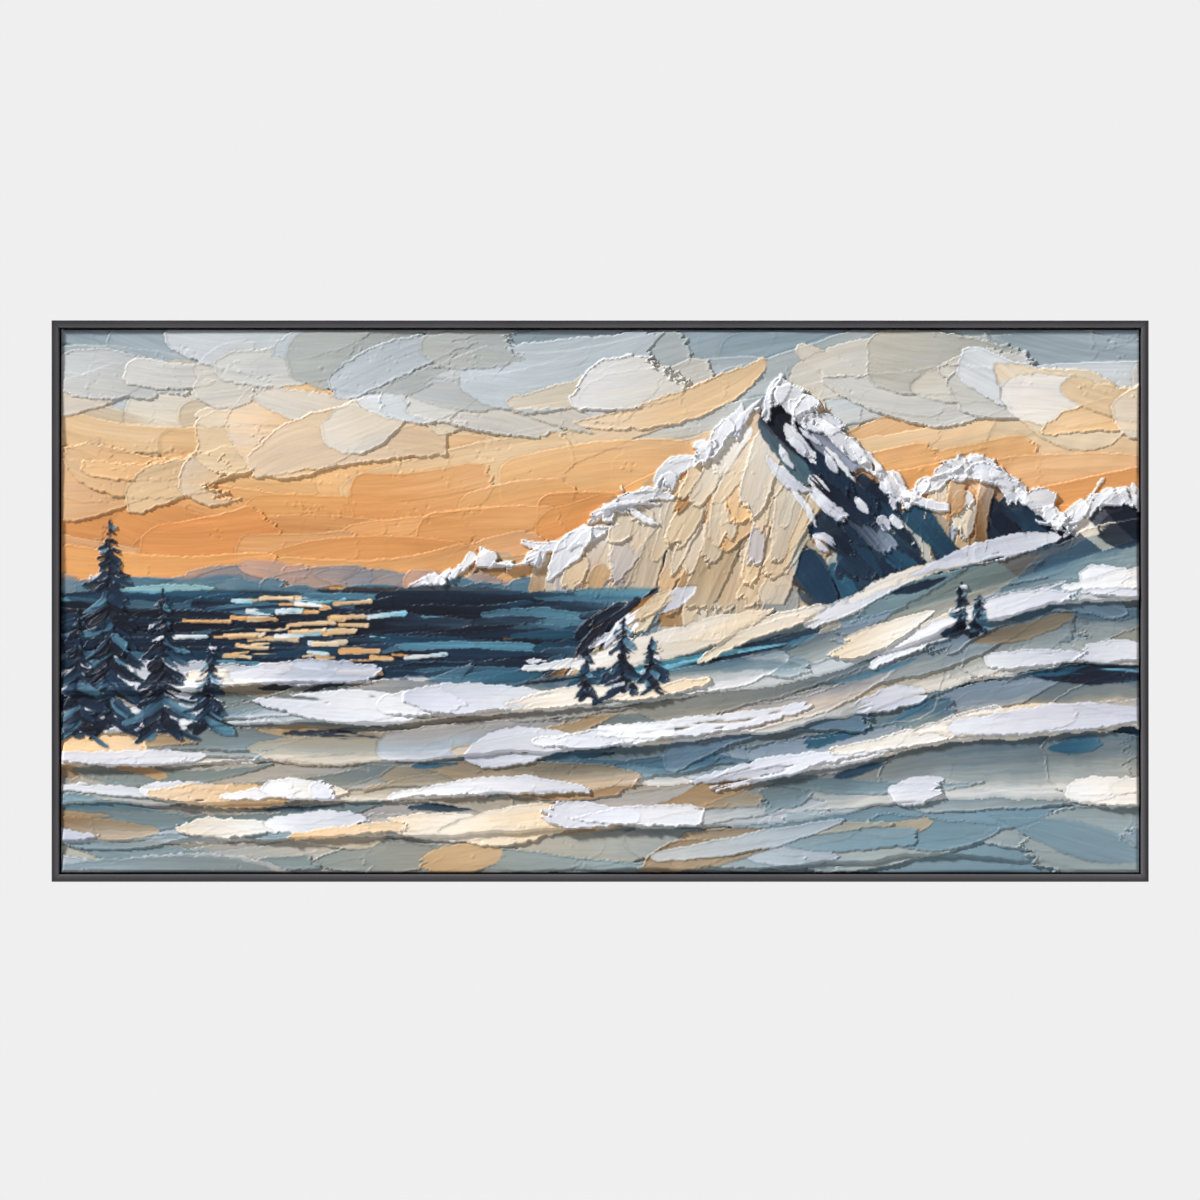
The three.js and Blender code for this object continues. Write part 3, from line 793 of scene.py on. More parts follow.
def pines(p, draw):
    """Dark pines with snow on their boughs, painted from the foot upwards."""
    for at, foot, height in PINES:
        x = at * WIDTH
        base = foot * HEIGHT
        p.lay(x, base + height / 2, 90, height, 4 + height / 50, 0, 1.2, (NAVY, DEEP), jag=0.2,
              taper=-0.7)
        levels = int(6 + height / 8)
        for level in range(levels):
            share = min(1, max(0, level + draw(-0.5, 0.5)) / levels)
            z = base + height * (0.08 + 0.9 * share)
            small = 0.3 + 0.7 * (1 - share)
            reach = (1 - share) ** 0.85 * height * 0.24 + 4
            for side in (-1, 1):
                heading = -90 + side * draw(42, 68)
                length = reach * draw(0.6, 1.3)
                pair = (NAVY, DEEP) if draw() < 0.7 else (DEEP, STEEL)
                turn = math.radians(heading)
                p.lay(x + length * 0.45 * math.cos(turn), z + length * 0.45 * math.sin(turn), heading,
                      length, (draw(5, 9) + height / 50) * small, side * draw(10, 40), draw(1.0, 2.2),
                      pair, bead=0.6, lip=1.2, rag=1.6, jag=1.1, contrast=0.6, corner=1.0,
                      taper=draw(-0.6, 0.1), sway=0.3)
                if draw() < min(0.3, height / 400):
                    p.lay(x + length * 0.5 * math.cos(turn), z + length * 0.42 * math.sin(turn) + 4,
                          heading + side * 14, length * draw(0.4, 0.8),
                          (draw(3, 6) + height / 90) * small, side * draw(10, 40), draw(1.2, 2.6),
                          (WHITE, LILAC), lip=1.4, rag=1.8, jag=1.2, dry=0.3 * draw(), corner=1.0,
                          sway=0.3)


def pits_and_crumbs(p, draw):
    """Clusters of small pits and crumbs, as the knife leaves them."""
    for _ in range(90):
        x = draw(-WIDTH / 2, WIDTH / 2)
        z = draw(-HEIGHT / 2, HEIGHT / 2)
        spread = draw(8, 34)
        for _ in range(int(draw(4, 16))):
            rise = draw(-0.9, -0.3) if draw() < 0.45 else draw(0.3, 0.9)
            p.dot(x + draw(-1, 1) * spread, z + draw(-1, 1) * spread * 0.6, draw(0.9, 1.7), rise)


def painted():
    """The finished picture."""
    draw = stream(2024)
    p = Painting(draw)
    for family in (sky, clouds, far_hills, mountains, ridges, broken_snow, lake, glitter, shore, slopes,
                   lips, pines, pits_and_crumbs):
        family(p, draw)
    return p


# The relief over the solid canvas

THIN_PAINT = 1.4
LIP_PAINT = 5.2
LIP_SHARE = 0.05
LEAST_LIP = 0.15
PROBE_STEP = 4
PROBE_Y = -0.2
FORM_BLUR = 5.0
STROKE_BLUR = 12.0
STROKE_LEVEL = 0.85
LEAST_PAINT = 0.25
EDGE_ROUND = 2.6
EDGE_HEIGHT = 0.35


def solid_form():
    """How far the solid canvas's front stands off the ground, in mm, on the picture's grid."""
    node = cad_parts["painted_canvas"]
    tree = BVHTree.FromObject(node, bpy.context.evaluated_depsgraph_get())
    columns = np.linspace(0.5, WIDTH - 0.5, COLUMNS // PROBE_STEP) - WIDTH / 2
    rows = np.linspace(0.5, HEIGHT - 0.5, ROWS // PROBE_STEP) - HEIGHT / 2
    found = np.zeros((len(rows), len(columns)))
    ahead = Vector((0, 1, 0))
    for j, z in enumerate(rows):
        for i, x in enumerate(columns):
            place = tree.ray_cast(Vector((x * MM, PROBE_Y, MIDDLE_Z + z * MM)), ahead)[0]
            found[j, i] = -place.y / MM - GROUND
    grid_x = np.linspace(-WIDTH / 2, WIDTH / 2, COLUMNS)
    grid_z = np.linspace(-HEIGHT / 2, HEIGHT / 2, ROWS)
    wide = np.array([np.interp(grid_x, columns, row) for row in found])
    full = np.array([np.interp(grid_z, rows, column) for column in wide.T]).T
    return blurred(full, FORM_BLUR / CELL)


def lapped_sheets(u, w):
    """The slope sheets' height: a sharp lip at the lower edge that comes and goes, thinning upwards."""
    place = sheet_place(u, w)
    sheet = np.floor(place)
    up = place - sheet
    rising = smooth(-0.02, LIP_SHARE, up)
    falling = np.clip((1 - up) / (1 - LIP_SHARE), 0, 1) ** 1.3
    swell = mixed(LEAST_LIP, 1, sheet_swell(u, sheet))
    return THIN_PAINT + LIP_PAINT * swell * rising * falling


def relief(p):
    """The paint's height over the ground.

    The strokes' own relief lies on the solid's form, and on the slopes on the lapped sheets.
    """
    strokes = p.height - STROKE_LEVEL * blurred(p.height, STROKE_BLUR / CELL)
    u = p.x[None, :] / WIDTH * np.ones((ROWS, 1))
    w = p.z[:, None] / HEIGHT * np.ones((1, COLUMNS))
    on_slopes = smooth(0.004, -0.004, w - slope_top(u))
    form = mixed(solid_form(), lapped_sheets(u, w), on_slopes)
    height = np.maximum(form + strokes, LEAST_PAINT)
    from_side = WIDTH / 2 - np.abs(p.x)[None, :]
    from_end = HEIGHT / 2 - np.abs(p.z)[:, None]
    edge = np.minimum(from_side, from_end) + 0.5 * sample(SOFT, p.z[:, None] / 3, p.x[None, :] / 3)
    return height * mixed(EDGE_HEIGHT, 1, smooth(-0.5, EDGE_ROUND, edge))


# Meshes

def linear(colour):
    """Screen colours as light."""
    colour = np.clip(colour, 0, 1)
    return np.where(colour <= 0.04045, colour / 12.92, ((colour + 0.055) / 1.055) ** 2.4)


def mesh_of(name, vertices, faces):
    """A mesh from an array of points and one or more arrays of faces with as many corners each."""
    mesh = bpy.data.meshes.new(name)
    corners = np.concatenate([block.ravel() for block in faces])
    sizes = np.concatenate([np.full(len(block), block.shape[1]) for block in faces])
    starts = np.concatenate([[0], np.cumsum(sizes)[:-1]])
    mesh.vertices.add(len(vertices))
    mesh.vertices.foreach_set("co", np.ascontiguousarray(vertices, np.float32).ravel())
    mesh.loops.add(len(corners))
    mesh.loops.foreach_set("vertex_index", corners.astype(np.int32))
    mesh.polygons.add(len(sizes))
    mesh.polygons.foreach_set("loop_start", starts.astype(np.int32))
    mesh.update(calc_edges=True)
    mesh.validate()
    return mesh


def added(name, data):
    """A new object in the scene."""
    made = bpy.data.objects.new(name, data)
    bpy.context.scene.collection.objects.link(made)
    return made


def piece_of(mesh, material, solid):
    """A piece of the object that rides on the one body and stands for a solid."""
    piece = added(mesh.name, mesh)
    mesh.materials.append(material)
    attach(piece, "root")
    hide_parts(solid)


def point_values(mesh, name, values):
    """A number for each point of a mesh."""
    attribute = mesh.attributes.new(name, "FLOAT", "POINT")
    attribute.data.foreach_set("value", values.astype(np.float32))


def bands(count, first, last):
    """Quads that join loops of so many points, from the first loop to the last, each to the next."""
    ring = np.arange(count)
    beside = np.roll(ring, -1)
    quad = np.stack([ring, beside, beside + count, ring + count], 1)
    return [quad + i * count for i in range(first, last)]


def fans(count, loops):
    """Triangles that close the first and the last loop to the two points that follow the loops."""
    ring = np.arange(count)
    beside = np.roll(ring, -1)
    last = (loops - 1) * count
    tip = np.full(count, loops * count)
    return [np.stack([beside, ring, tip], 1), np.stack([last + ring, last + beside, tip + 1], 1)]


def grid_normals(height):
    """The relief's normals in the row frame, from its slopes."""
    up, across = np.gradient(height, CELL)
    normals = np.dstack([-across, -np.ones_like(height), -up])
    return normals / np.linalg.norm(normals, axis=2, keepdims=True)


BACK_STRIP = 0.03
HIGHEST_PAINT = 12


def relief_faces(top, index):
    """Two triangles for each square of the grid, split along its flatter diagonal."""
    a = index[:-1, :-1].ravel()
    b = index[:-1, 1:].ravel()
    c = index[1:, 1:].ravel()
    d = index[1:, :-1].ravel()
    flat = top.ravel()
    rising = (np.abs(flat[a] - flat[c]) < np.abs(flat[b] - flat[d]))[:, None]
    first = np.where(rising, np.stack([a, b, c], 1), np.stack([a, b, d], 1))
    second = np.where(rising, np.stack([a, c, d], 1), np.stack([b, c, d], 1))
    return np.concatenate([first, second])


def closing_faces(rim, start):
    """The walls from the relief's rim down to a rim of their own, and the fan over the back."""
    ahead = np.roll(rim, -1)
    own = start + np.arange(len(rim))
    beside = np.roll(own, -1)
    walls = np.concatenate([np.stack([own, ahead, rim], 1), np.stack([own, beside, ahead], 1)])
    return walls, np.stack([own, np.full(len(rim), own[-1] + 1), beside], 1)


def unwrap(mesh, points, corner_vertex, front_corners):
    """The relief fills the map but for a strip along its top, which holds the walls and the back."""
    spots = points[:, (0, 2)]
    low = spots.min(0)
    uv = ((spots - low) / (spots.max(0) - low) * (1, 1 - BACK_STRIP))[corner_vertex]
    others = slice(front_corners, None)
    depth = (points[corner_vertex[others], 1] / -MM - GROUND) / HIGHEST_PAINT
    uv[others, 1] = 1 - BACK_STRIP * (0.9 - 0.8 * np.clip(depth, 0, 1))
    layer = mesh.uv_layers.new(name="OFBake")
    layer.uv.foreach_set("vector", uv.astype(np.float32).ravel())


def paint_block(name, p, height, normals, rows, columns, material):
    """One closed block of the paint: its relief, four walls down to the canvas, and a flat back."""
    here = (slice(rows[0], rows[1] + 1), slice(columns[0], columns[1] + 1))
    top = height[here]
    x = np.broadcast_to(p.x[None, here[1]], top.shape) * MM
    z = np.broadcast_to(p.z[here[0], None], top.shape) * MM + MIDDLE_Z
    front = np.stack([x, -(GROUND + top) * MM, z], axis=-1).reshape(-1, 3)
    index = np.arange(top.size).reshape(top.shape)
    rim = np.concatenate([index[0, :-1], index[:-1, -1], index[-1, :0:-1], index[:0:-1, 0]])
    behind = front[rim] * (1, 0, 1) - (0, GROUND * MM, 0)
    middle = behind[[0, len(rim) // 2]].mean(0)
    points = np.concatenate([front, behind, [middle]])
    faces = relief_faces(top, index)
    mesh = mesh_of(name, points, [faces, *closing_faces(rim, len(front))])
    corner_vertex = np.empty(len(mesh.loops), np.int32)
    mesh.loops.foreach_get("vertex_index", corner_vertex)
    unwrap(mesh, points, corner_vertex, faces.size)
    add_values(mesh, "paint", "FLOAT_COLOR", "color", colour_values(p, here))
    add_values(mesh, "stroke", "FLOAT_VECTOR", "vector", stroke_values(p, here))
    add_values(mesh, "calm", "FLOAT", "value", calm_values(p, here))
    mesh.polygons.foreach_set("use_smooth", np.ones(len(mesh.polygons), bool))
    set_normals(mesh, normals[here].reshape(-1, 3), corner_vertex, faces.size)
    piece_of(mesh, material, "painted_canvas")


def set_normals(mesh, front_normals, corner_vertex, front_corners):
    """The relief keeps the whole picture's normals, so that no seam shows between the blocks."""
    face_normals = np.empty(len(mesh.polygons) * 3, np.float32)
    mesh.polygons.foreach_get("normal", face_normals)
    normals = np.repeat(face_normals.reshape(-1, 3), 3, axis=0)
    normals[:front_corners] = front_normals[corner_vertex[:front_corners]]
    mesh.normals_split_custom_set(normals.tolist())


def add_values(mesh, name, kind, field, values):
    """A value for each point of the relief, and zero at the points of the back."""
    found = values.reshape(-1, values.shape[-1] if values.ndim > 2 else 1)
    found = np.concatenate([found, np.zeros((len(mesh.vertices) - len(found), found.shape[1]))])
    attribute = mesh.attributes.new(name, kind, "POINT")
    attribute.data.foreach_set(field, found.astype(np.float32).ravel())


def colour_values(p, here):
    colour = linear(p.colour[here])
    return np.concatenate([colour, np.ones(colour.shape[:2] + (1,))], axis=-1)


def stroke_values(p, here):
    return np.dstack([p.along[here] * MM, p.across[here] * MM, p.mark[here] % 97])


def calm_values(p, here):
    """0 beside the edge of a stroke, where its own directions stop, and 1 elsewhere."""
    mark = p.mark
    calm = np.ones(mark.shape)
    for axis in (0, 1):
        for shift in (-1, 1):
            calm[np.roll(mark, shift, axis) != mark] = 0
    return calm[here]


BLOCK_NAMES = (
    ("paint_bottom_left", "paint_bottom_middle", "paint_bottom_right"),
    ("paint_top_left", "paint_top_middle", "paint_top_right"),
)


def paint_blocks(material):
    p = painted()
    height = relief(p)
    normals = grid_normals(height)
    rows = np.linspace(0, ROWS - 1, len(BLOCK_NAMES) + 1).astype(int)
    columns = np.linspace(0, COLUMNS - 1, len(BLOCK_NAMES[0]) + 1).astype(int)
    for j, names in enumerate(BLOCK_NAMES):
        for i, name in enumerate(names):
            paint_block(name, p, height, normals, rows[j:j + 2], columns[i:i + 2], material)


# The frame's rails

RAIL_FACE = 8.5
RAIL_OUTER_ROUND = 3.6
RAIL_INNER_ROUND = 1.6
FLANGE_THICKNESS = 5
FLANGE_ROUND = 0.6
ROUND_STEPS = 10
SIDES = ("top", "right", "bottom", "left")


def placed(side, along, forwards, inwards, width, height):
    """Points given on one side of a rectangle, in mm, as points of the row frame in metres."""
    turn = SIDES.index(side)
    along, forwards, inwards = np.broadcast_arrays(along, forwards, inwards)
    x, z = (
        (along, height / 2 - inwards),
        (width / 2 - inwards, -along),
        (-along, inwards - height / 2),
        (inwards - width / 2, along),
    )[turn]
    return np.stack([x * MM, -forwards * MM, z * MM + MIDDLE_Z], axis=-1)


def side_length(side, width, height):
    return width if side in ("top", "bottom") else height


def arc(middle, radius, first, last, steps=ROUND_STEPS):
    """Points on an arc from one angle to another, in degrees."""
    angles = np.radians(np.linspace(first, last, steps + 1))
    return np.stack([middle[0] + radius * np.cos(angles), middle[1] + radius * np.sin(angles)], 1)


def rail_section():
    """(inwards, forwards) points: a wall with a rounded front, and a flange behind the stretcher."""
    soft = FLANGE_ROUND
    reach = FLANGE_REACH
    inner = (RAIL_FACE - RAIL_INNER_ROUND, FRAME_DEPTH - RAIL_INNER_ROUND)
    outer = (RAIL_OUTER_ROUND, FRAME_DEPTH - RAIL_OUTER_ROUND)
    return np.concatenate([
        arc((soft, soft), soft, 180, 270, 3),
        arc((reach - soft, soft), soft, 270, 360, 3),
        arc((reach - soft, FLANGE_THICKNESS - soft), soft, 0, 90, 3),
        [(RAIL_FACE, FLANGE_THICKNESS)],
        arc(inner, RAIL_INNER_ROUND, 0, 90),
        [((inner[0] + outer[0]) / 2, FRAME_DEPTH)],
        arc(outer, RAIL_OUTER_ROUND, 90, 180),
    ])


def turned(name, profile, sides):
    """A closed round mesh that points along -Y, from (radius, depth) points from axis to axis."""
    angles = np.arange(sides) * 2 * math.pi / sides
    rings = [np.stack([radius * np.cos(angles), np.full(sides, -depth), radius * np.sin(angles)], 1)
             for radius, depth in profile[1:-1]]
    tips = [[0, -profile[0][1], 0], [0, -profile[-1][1], 0]]
    points = np.concatenate([*rings, tips]) * MM
    return mesh_of(name, points, bands(sides, 0, len(rings) - 1) + fans(sides, len(rings)))


SCREW_HEAD = 3.8
SCREW_SHANK = 2.05
SCREW_SINK = 0.4
SCREW_HEAD_HEIGHT = 2.4


def screw_hole(place):
    """A cutter for one countersunk hole through the flange."""
    past = 1
    mesh = turned("screw_hole", (
        (0, -past),
        (SCREW_HEAD, -past),
        (SCREW_HEAD, SCREW_SINK),
        (SCREW_SHANK, SCREW_SINK + SCREW_HEAD_HEIGHT),
        (SCREW_SHANK, FLANGE_THICKNESS + past),
        (0, FLANGE_THICKNESS + past),
    ), 24)
    cutter = added("screw_hole", mesh)
    cutter.location = place
    return cutter


def drilled(mesh, places):
    """The mesh with a countersunk hole at each place."""
    work = added("work", mesh)
    cutters = [screw_hole(place) for place in places]
    for cutter in cutters:
        cut = work.modifiers.new("hole", "BOOLEAN")
        cut.operation = "DIFFERENCE"
        cut.object = cutter
    solved = work.evaluated_get(bpy.context.evaluated_depsgraph_get())
    made = bpy.data.meshes.new_from_object(solved)
    for used in (work, *cutters):
        bpy.data.objects.remove(used)
    return made


def smooth_by_angle(mesh, angle=32):
    mesh.polygons.foreach_set("use_smooth", np.ones(len(mesh.polygons), bool))
    mesh.set_sharp_from_angle(angle=math.radians(angle))


def screw_places(side):
    """Where the screws of one side go through the flange, on its rear face."""
    boxes = [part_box(name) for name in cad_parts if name.startswith("frame_screw_" + side)]
    return [Vector(((low.x + high.x) / 2, 0, (low.z + high.z) / 2)) for low, high in boxes]


def rails(material):
    section = rail_section()
    count = len(section)
    ring = np.arange(count)
    walls = bands(count, 0, 1)[0][:, (0, 3, 2, 1)]
    shift = PIECE_GAP / 2 * math.sqrt(2)
    inwards, forwards = section.T
    # Painted light and shade: the rails' front face is lighter towards its inner edge, and the outer
    # rounding and all other faces are darker
    face_light = smooth(1, RAIL_FACE - 1, inwards) * smooth(FRAME_DEPTH - 5, FRAME_DEPTH - 1, forwards)
    for side in SIDES:
        half = side_length(side, FRAME_WIDTH, FRAME_HEIGHT) / 2 - inwards - shift
        ends = [placed(side, turn * half, forwards, inwards, FRAME_WIDTH, FRAME_HEIGHT)
                for turn in (-1, 1)]
        faces = [walls, ring[None, ::-1], ring[None, :] + count]
        mesh = mesh_of("frame_rail", np.concatenate(ends), faces)
        point_values(mesh, "painted_face_light", np.concatenate([face_light, face_light]))
        mesh = drilled(mesh, screw_places(side))
        mesh.name = "rail_" + side
        smooth_by_angle(mesh)
        piece_of(mesh, material, "frame_rail_" + side)


# The canvas and its staples

TURNOVER_REAR = BAR_REAR - PIECE_GAP - CANVAS_THICKNESS
TURNOVER_WIDTH = 31.1
CANVAS_STEP = 3
STAPLE_PITCH = 66
STAPLE_INSET = 22.5
STAPLE_CROWN = 10
STAPLE_LEG = 4
STAPLE_WIRE = 0.6
STAPLE_CLEAR = 32
STAPLE_OFF_HANGER = 9
SIDE_RINGS = (22, 15, 9)
FOLD_START = 20
FOLD_REACH = 30
FAR_INSET = 300


def around_picture():
    """Points round the picture's outline: each one's place along its side, from -1 to 1."""
    places = []
    for side in SIDES:
        count = int(side_length(side, WIDTH, HEIGHT) / CANVAS_STEP)
        places.append((side, np.linspace(-1, 1, count + 1)[:-1]))
    return places


def outline_points(places, inset, depth):
    """The points of one loop round the picture, each with its own inset and depth in mm."""
    points = []
    start = 0
    for side, share in places:
        here = slice(start, start + len(share))
        start += len(share)
        along = share * (side_length(side, WIDTH, HEIGHT) / 2 - inset[here])
        points.append(placed(side, along, depth[here], inset[here], WIDTH, HEIGHT))
    return np.concatenate(points)


def canvas_folds(places, count):
    """How far the turned-over canvas stands off the bars at each point round the picture, in mm.

    It swells a little everywhere, and more at the corners of the top and bottom, where it is folded.
    """
    run = np.arange(count) * 1.0
    swell = np.clip(sample(SOFT, run / 6, np.full(count, 30.0)), 0, 1.6)
    from_corner = np.concatenate([
        (1 - np.abs(share)) * side_length(side, WIDTH, HEIGHT) / 2 for side, share in places
    ])
    folded = np.concatenate([np.full(len(share), side in ("top", "bottom")) for side, share in places])
    fold = np.where(folded, np.clip(1 - (from_corner - FOLD_START) / FOLD_REACH, 0, 1), 0)
    return 0.22 * swell + 0.35 * fold


def canvas_loops():
    """(inset, depth, lift) of each loop from the front, round the bars and back inside the skin.

    The lift is the share of the folds that the loop takes. An inset of None is the ragged cut edge.
    """
    rear = TURNOVER_REAR
    inner = rear + CANVAS_THICKNESS
    inner_front = GROUND - CANVAS_THICKNESS
    hidden = FLANGE_REACH - (FRAME_WIDTH - WIDTH) / 2
    near_cut = TURNOVER_WIDTH - 3
    return [
        (60, GROUND, 0),
        (0.4, GROUND, 0),
        (0.1, GROUND - 0.1, 0),
        (0, GROUND - 0.4, 0),
        *((0, depth, 0) for depth in SIDE_RINGS),
        (0, rear + 0.7, 0),
        (0.2, rear + 0.2, 0),
        (0.7, rear, 0),
        (4, rear, 0),
        (hidden, rear, 0.15),
        (hidden + 3, rear, 0.5),
        (hidden + 8, rear, 0.9),
        (near_cut, rear, 1),
        (None, rear, 0.9),
        (None, inner - 0.2, 0.9),
        (near_cut, inner, 0.3),
        (CANVAS_THICKNESS, inner, 0),
        (CANVAS_THICKNESS, inner_front, 0),
        (60, inner_front, 0),
    ]


def canvas_wrap(material):
    """The canvas: a thin skin over the bars' front and sides, turned over onto their backs."""
    places = around_picture()
    count = sum(len(share) for _, share in places)
    run = np.arange(count) * 1.0
    ragged = 0.5 * sample(SOFT, run / 9, np.full(count, 3.0)) + 0.2 * sample(ROUGH, run, np.full(count, 7.0))
    folds = canvas_folds(places, count)
    loops = canvas_loops()
    points = []
    insets = []
    for inset, depth, lift in loops:
        inset = TURNOVER_WIDTH + ragged if inset is None else np.full(count, float(inset))
        points.append(outline_points(places, inset, depth - lift * folds))
        insets.append(inset)
    faces = [band[:, (0, 3, 2, 1)] for band in bands(count, 0, len(loops) - 1)]
    faces += [fan[:, (1, 0, 2)] for fan in fans(count, len(loops))]
    middle = [[0, -depth * MM, MIDDLE_Z] for depth in (GROUND, GROUND - CANVAS_THICKNESS)]
    mesh = mesh_of("canvas_wrap", np.concatenate([*points, middle]), faces)
    point_values(mesh, "inset", np.concatenate([*insets, [FAR_INSET, FAR_INSET]]))
    smooth_by_angle(mesh, 50)
    piece_of(mesh, material, "painted_canvas")


def staple_form():
    """One staple in mm, its crown along X and its legs pointing towards +Z, from loops of its wire."""
    half = STAPLE_CROWN / 2
    wire = STAPLE_WIRE / 2
    right = ((half - 0.5, 0), (half - 0.15, 0.15), (half, 0.5), (half, STAPLE_LEG))
    path = [(-x, z) for x, z in reversed(right)] + [*right]
    points = []
    for i, (x, z) in enumerate(path):
        before = path[max(0, i - 1)]
        after = path[min(len(path) - 1, i + 1)]
        heading = math.atan2(after[1] - before[1], after[0] - before[0])
        away = (-math.sin(heading) * wire, math.cos(heading) * wire)
        for out, up in ((-1, -1), (-1, 1), (1, 1), (1, -1)):
            points.append((x + out * away[0], up * 1.6 * wire, z + out * away[1]))
    tip = 4 * len(path) - 4
    ends = np.array([[3, 2, 1, 0], [tip, tip + 1, tip + 2, tip + 3]])
    return np.array(points), np.concatenate([*bands(4, 0, len(path) - 1), ends])


def canvas_staples(material):
    """Staples along the turned-over canvas, a little askew, as one piece."""
    draw = stream(77)
    form, form_faces = staple_form()
    across, level, leg = form.T
    hangers = [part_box(name) for name in ("hanger_left", "hanger_right")]
    clear = STAPLE_OFF_HANGER
    points = []
    faces = []
    for side in SIDES:
        span = side_length(side, WIDTH, HEIGHT) - 2 * STAPLE_CLEAR
        count = round(span / STAPLE_PITCH)
        for i in range(count + 1):
            along = -span / 2 + i * span / count + draw(-4, 4)
            inset = STAPLE_INSET + draw(-1.5, 1.5)
            skew = math.radians(draw(-9, 9))
            if side == "top" and any(low.x / MM - clear < along < high.x / MM + clear
                                     for low, high in hangers):
                continue
            reach = along + across * math.cos(skew) - level * math.sin(skew)
            drop = inset + across * math.sin(skew) + level * math.cos(skew)
            faces.append(form_faces + len(form) * len(points))
            points.append(placed(side, reach, TURNOVER_REAR - 0.7 + leg, drop, WIDTH, HEIGHT))
    mesh = mesh_of("canvas_staples", np.concatenate(points), faces)
    smooth_by_angle(mesh)
    piece_of(mesh, material, "painted_canvas")


# Materials

def node(tree, kind, inputs=None, **settings):
    """A node with its settings, and its inputs given as values or as other nodes' outputs."""
    made = tree.nodes.new(kind)
    for name, value in settings.items():
        setattr(made, name, value)
    for key, value in (inputs or {}).items():
        if isinstance(value, bpy.types.NodeSocket):
            tree.links.new(value, made.inputs[key])
        else:
            made.inputs[key].default_value = value
    return made


def output_of(tree, kind, inputs=None, **settings):
    """A node's first output."""
    return node(tree, kind, inputs, **settings).outputs[0]


def new_material(name):
    """A material with its tree, its Principled shader and the place on the object."""
    material = bpy.data.materials.new(name)
    material.use_nodes = True
    tree = material.node_tree
    tree.nodes.clear()
    shader = tree.nodes.new("ShaderNodeBsdfPrincipled")
    node(tree, "ShaderNodeOutputMaterial", {0: shader.outputs[0]})
    return material, tree, shader, node(tree, "ShaderNodeTexCoord").outputs["Object"]


def finished(tree, shader, colour, roughness, height, strength, distance):
    """Gives a shader its colour, its roughness and a fine relief."""
    bump = node(tree, "ShaderNodeBump", {"Height": height, "Strength": strength, "Distance": distance})
    tree.links.new(colour, shader.inputs["Base Color"])
    tree.links.new(roughness, shader.inputs["Roughness"])
    tree.links.new(bump.outputs[0], shader.inputs["Normal"])


def noise(tree, vector, scale, detail=2.0, roughness=0.5):
    """Noise at one scale, or at one for each axis."""
    if isinstance(scale, tuple):
        vector = output_of(tree, "ShaderNodeVectorMath", {0: vector, 1: scale}, operation="MULTIPLY")
        scale = 1.0
    made = node(tree, "ShaderNodeTexNoise", {"Vector": vector, "Scale": scale, "Detail": detail,
                                             "Roughness": roughness})
    return made.outputs["Fac"]


def arithmetic(tree, operation, a, b):
    return output_of(tree, "ShaderNodeMath", {0: a, 1: b}, operation=operation)


def ranged(tree, value, to_low, to_high, low=0.3, high=0.7):
    """The value moved from one range, which is most of a noise's own, to another."""
    return output_of(tree, "ShaderNodeMapRange", {"Value": value, "From Min": low, "From Max": high,
                                                  "To Min": to_low, "To Max": to_high})


def blended(tree, share, first, second, how="MIX"):
    """Two colours mixed, or joined in another way."""
    made = node(tree, "ShaderNodeMix", {"Factor": share, "A": first, "B": second}, data_type="RGBA",
                blend_type=how)
    return made.outputs["Result"]


def tinted(tree, colour, factor):
    """The colour made lighter or darker by a factor from a node."""
    grey = output_of(tree, "ShaderNodeCombineColor", {0: factor, 1: factor, 2: factor})
    return blended(tree, 1.0, colour, grey, "MULTIPLY")


def value_of(tree, name, output="Fac"):
    """A value that the mesh carries at its points."""
    return node(tree, "ShaderNodeAttribute", attribute_name=name).outputs[output]


def oil_paint():
    """Satin paint in the strokes' own colours, with fine drag lines along each stroke."""
    material, tree, shader, place = new_material("oil_paint")
    stroke = value_of(tree, "stroke", "Vector")
    lines = noise(tree, stroke, (30.0, 1300.0, 1.0), 2.0)
    streaks = noise(tree, stroke, (22.0, 420.0, 1.0), 3.0)
    grain = noise(tree, place, 900.0, 3.0)
    colour = tinted(tree, value_of(tree, "paint", "Color"), ranged(tree, streaks, 0.95, 1.05))
    drag = arithmetic(tree, "MULTIPLY", lines, value_of(tree, "calm"))
    height = arithmetic(tree, "ADD", drag, arithmetic(tree, "MULTIPLY", grain, 0.3))
    finished(tree, shader, colour, ranged(tree, streaks, 0.44, 0.62), height, 0.35, 0.0004)
    shader.inputs["Specular IOR Level"].default_value = 0.35
    return material


def frame_lacquer():
    """Charcoal satin lacquer with a very fine brushed grain. Its colour holds painted light and shade:
    lighter towards the inner edge of the rails' front face, and darker on the outer rounding and on every
    other face.
    """
    material, tree, shader, place = new_material("frame_lacquer")
    cloud = noise(tree, place, 14.0, 3.0)
    speck = noise(tree, place, 1400.0, 2.0)
    tone = arithmetic(tree, "ADD", ranged(tree, cloud, -0.06, 0.06), ranged(tree, speck, 0.94, 1.06))
    # The dark and the light lacquer are mixed by the painted light and shade on the rails' face
    lacquer = blended(tree, value_of(tree, "painted_face_light"), (0.022, 0.021, 0.024, 1), (0.088, 0.083, 0.090, 1))
    finished(tree, shader, tinted(tree, lacquer, tone), ranged(tree, cloud, 0.36, 0.46), speck, 0.12, 0.0001)
    return material


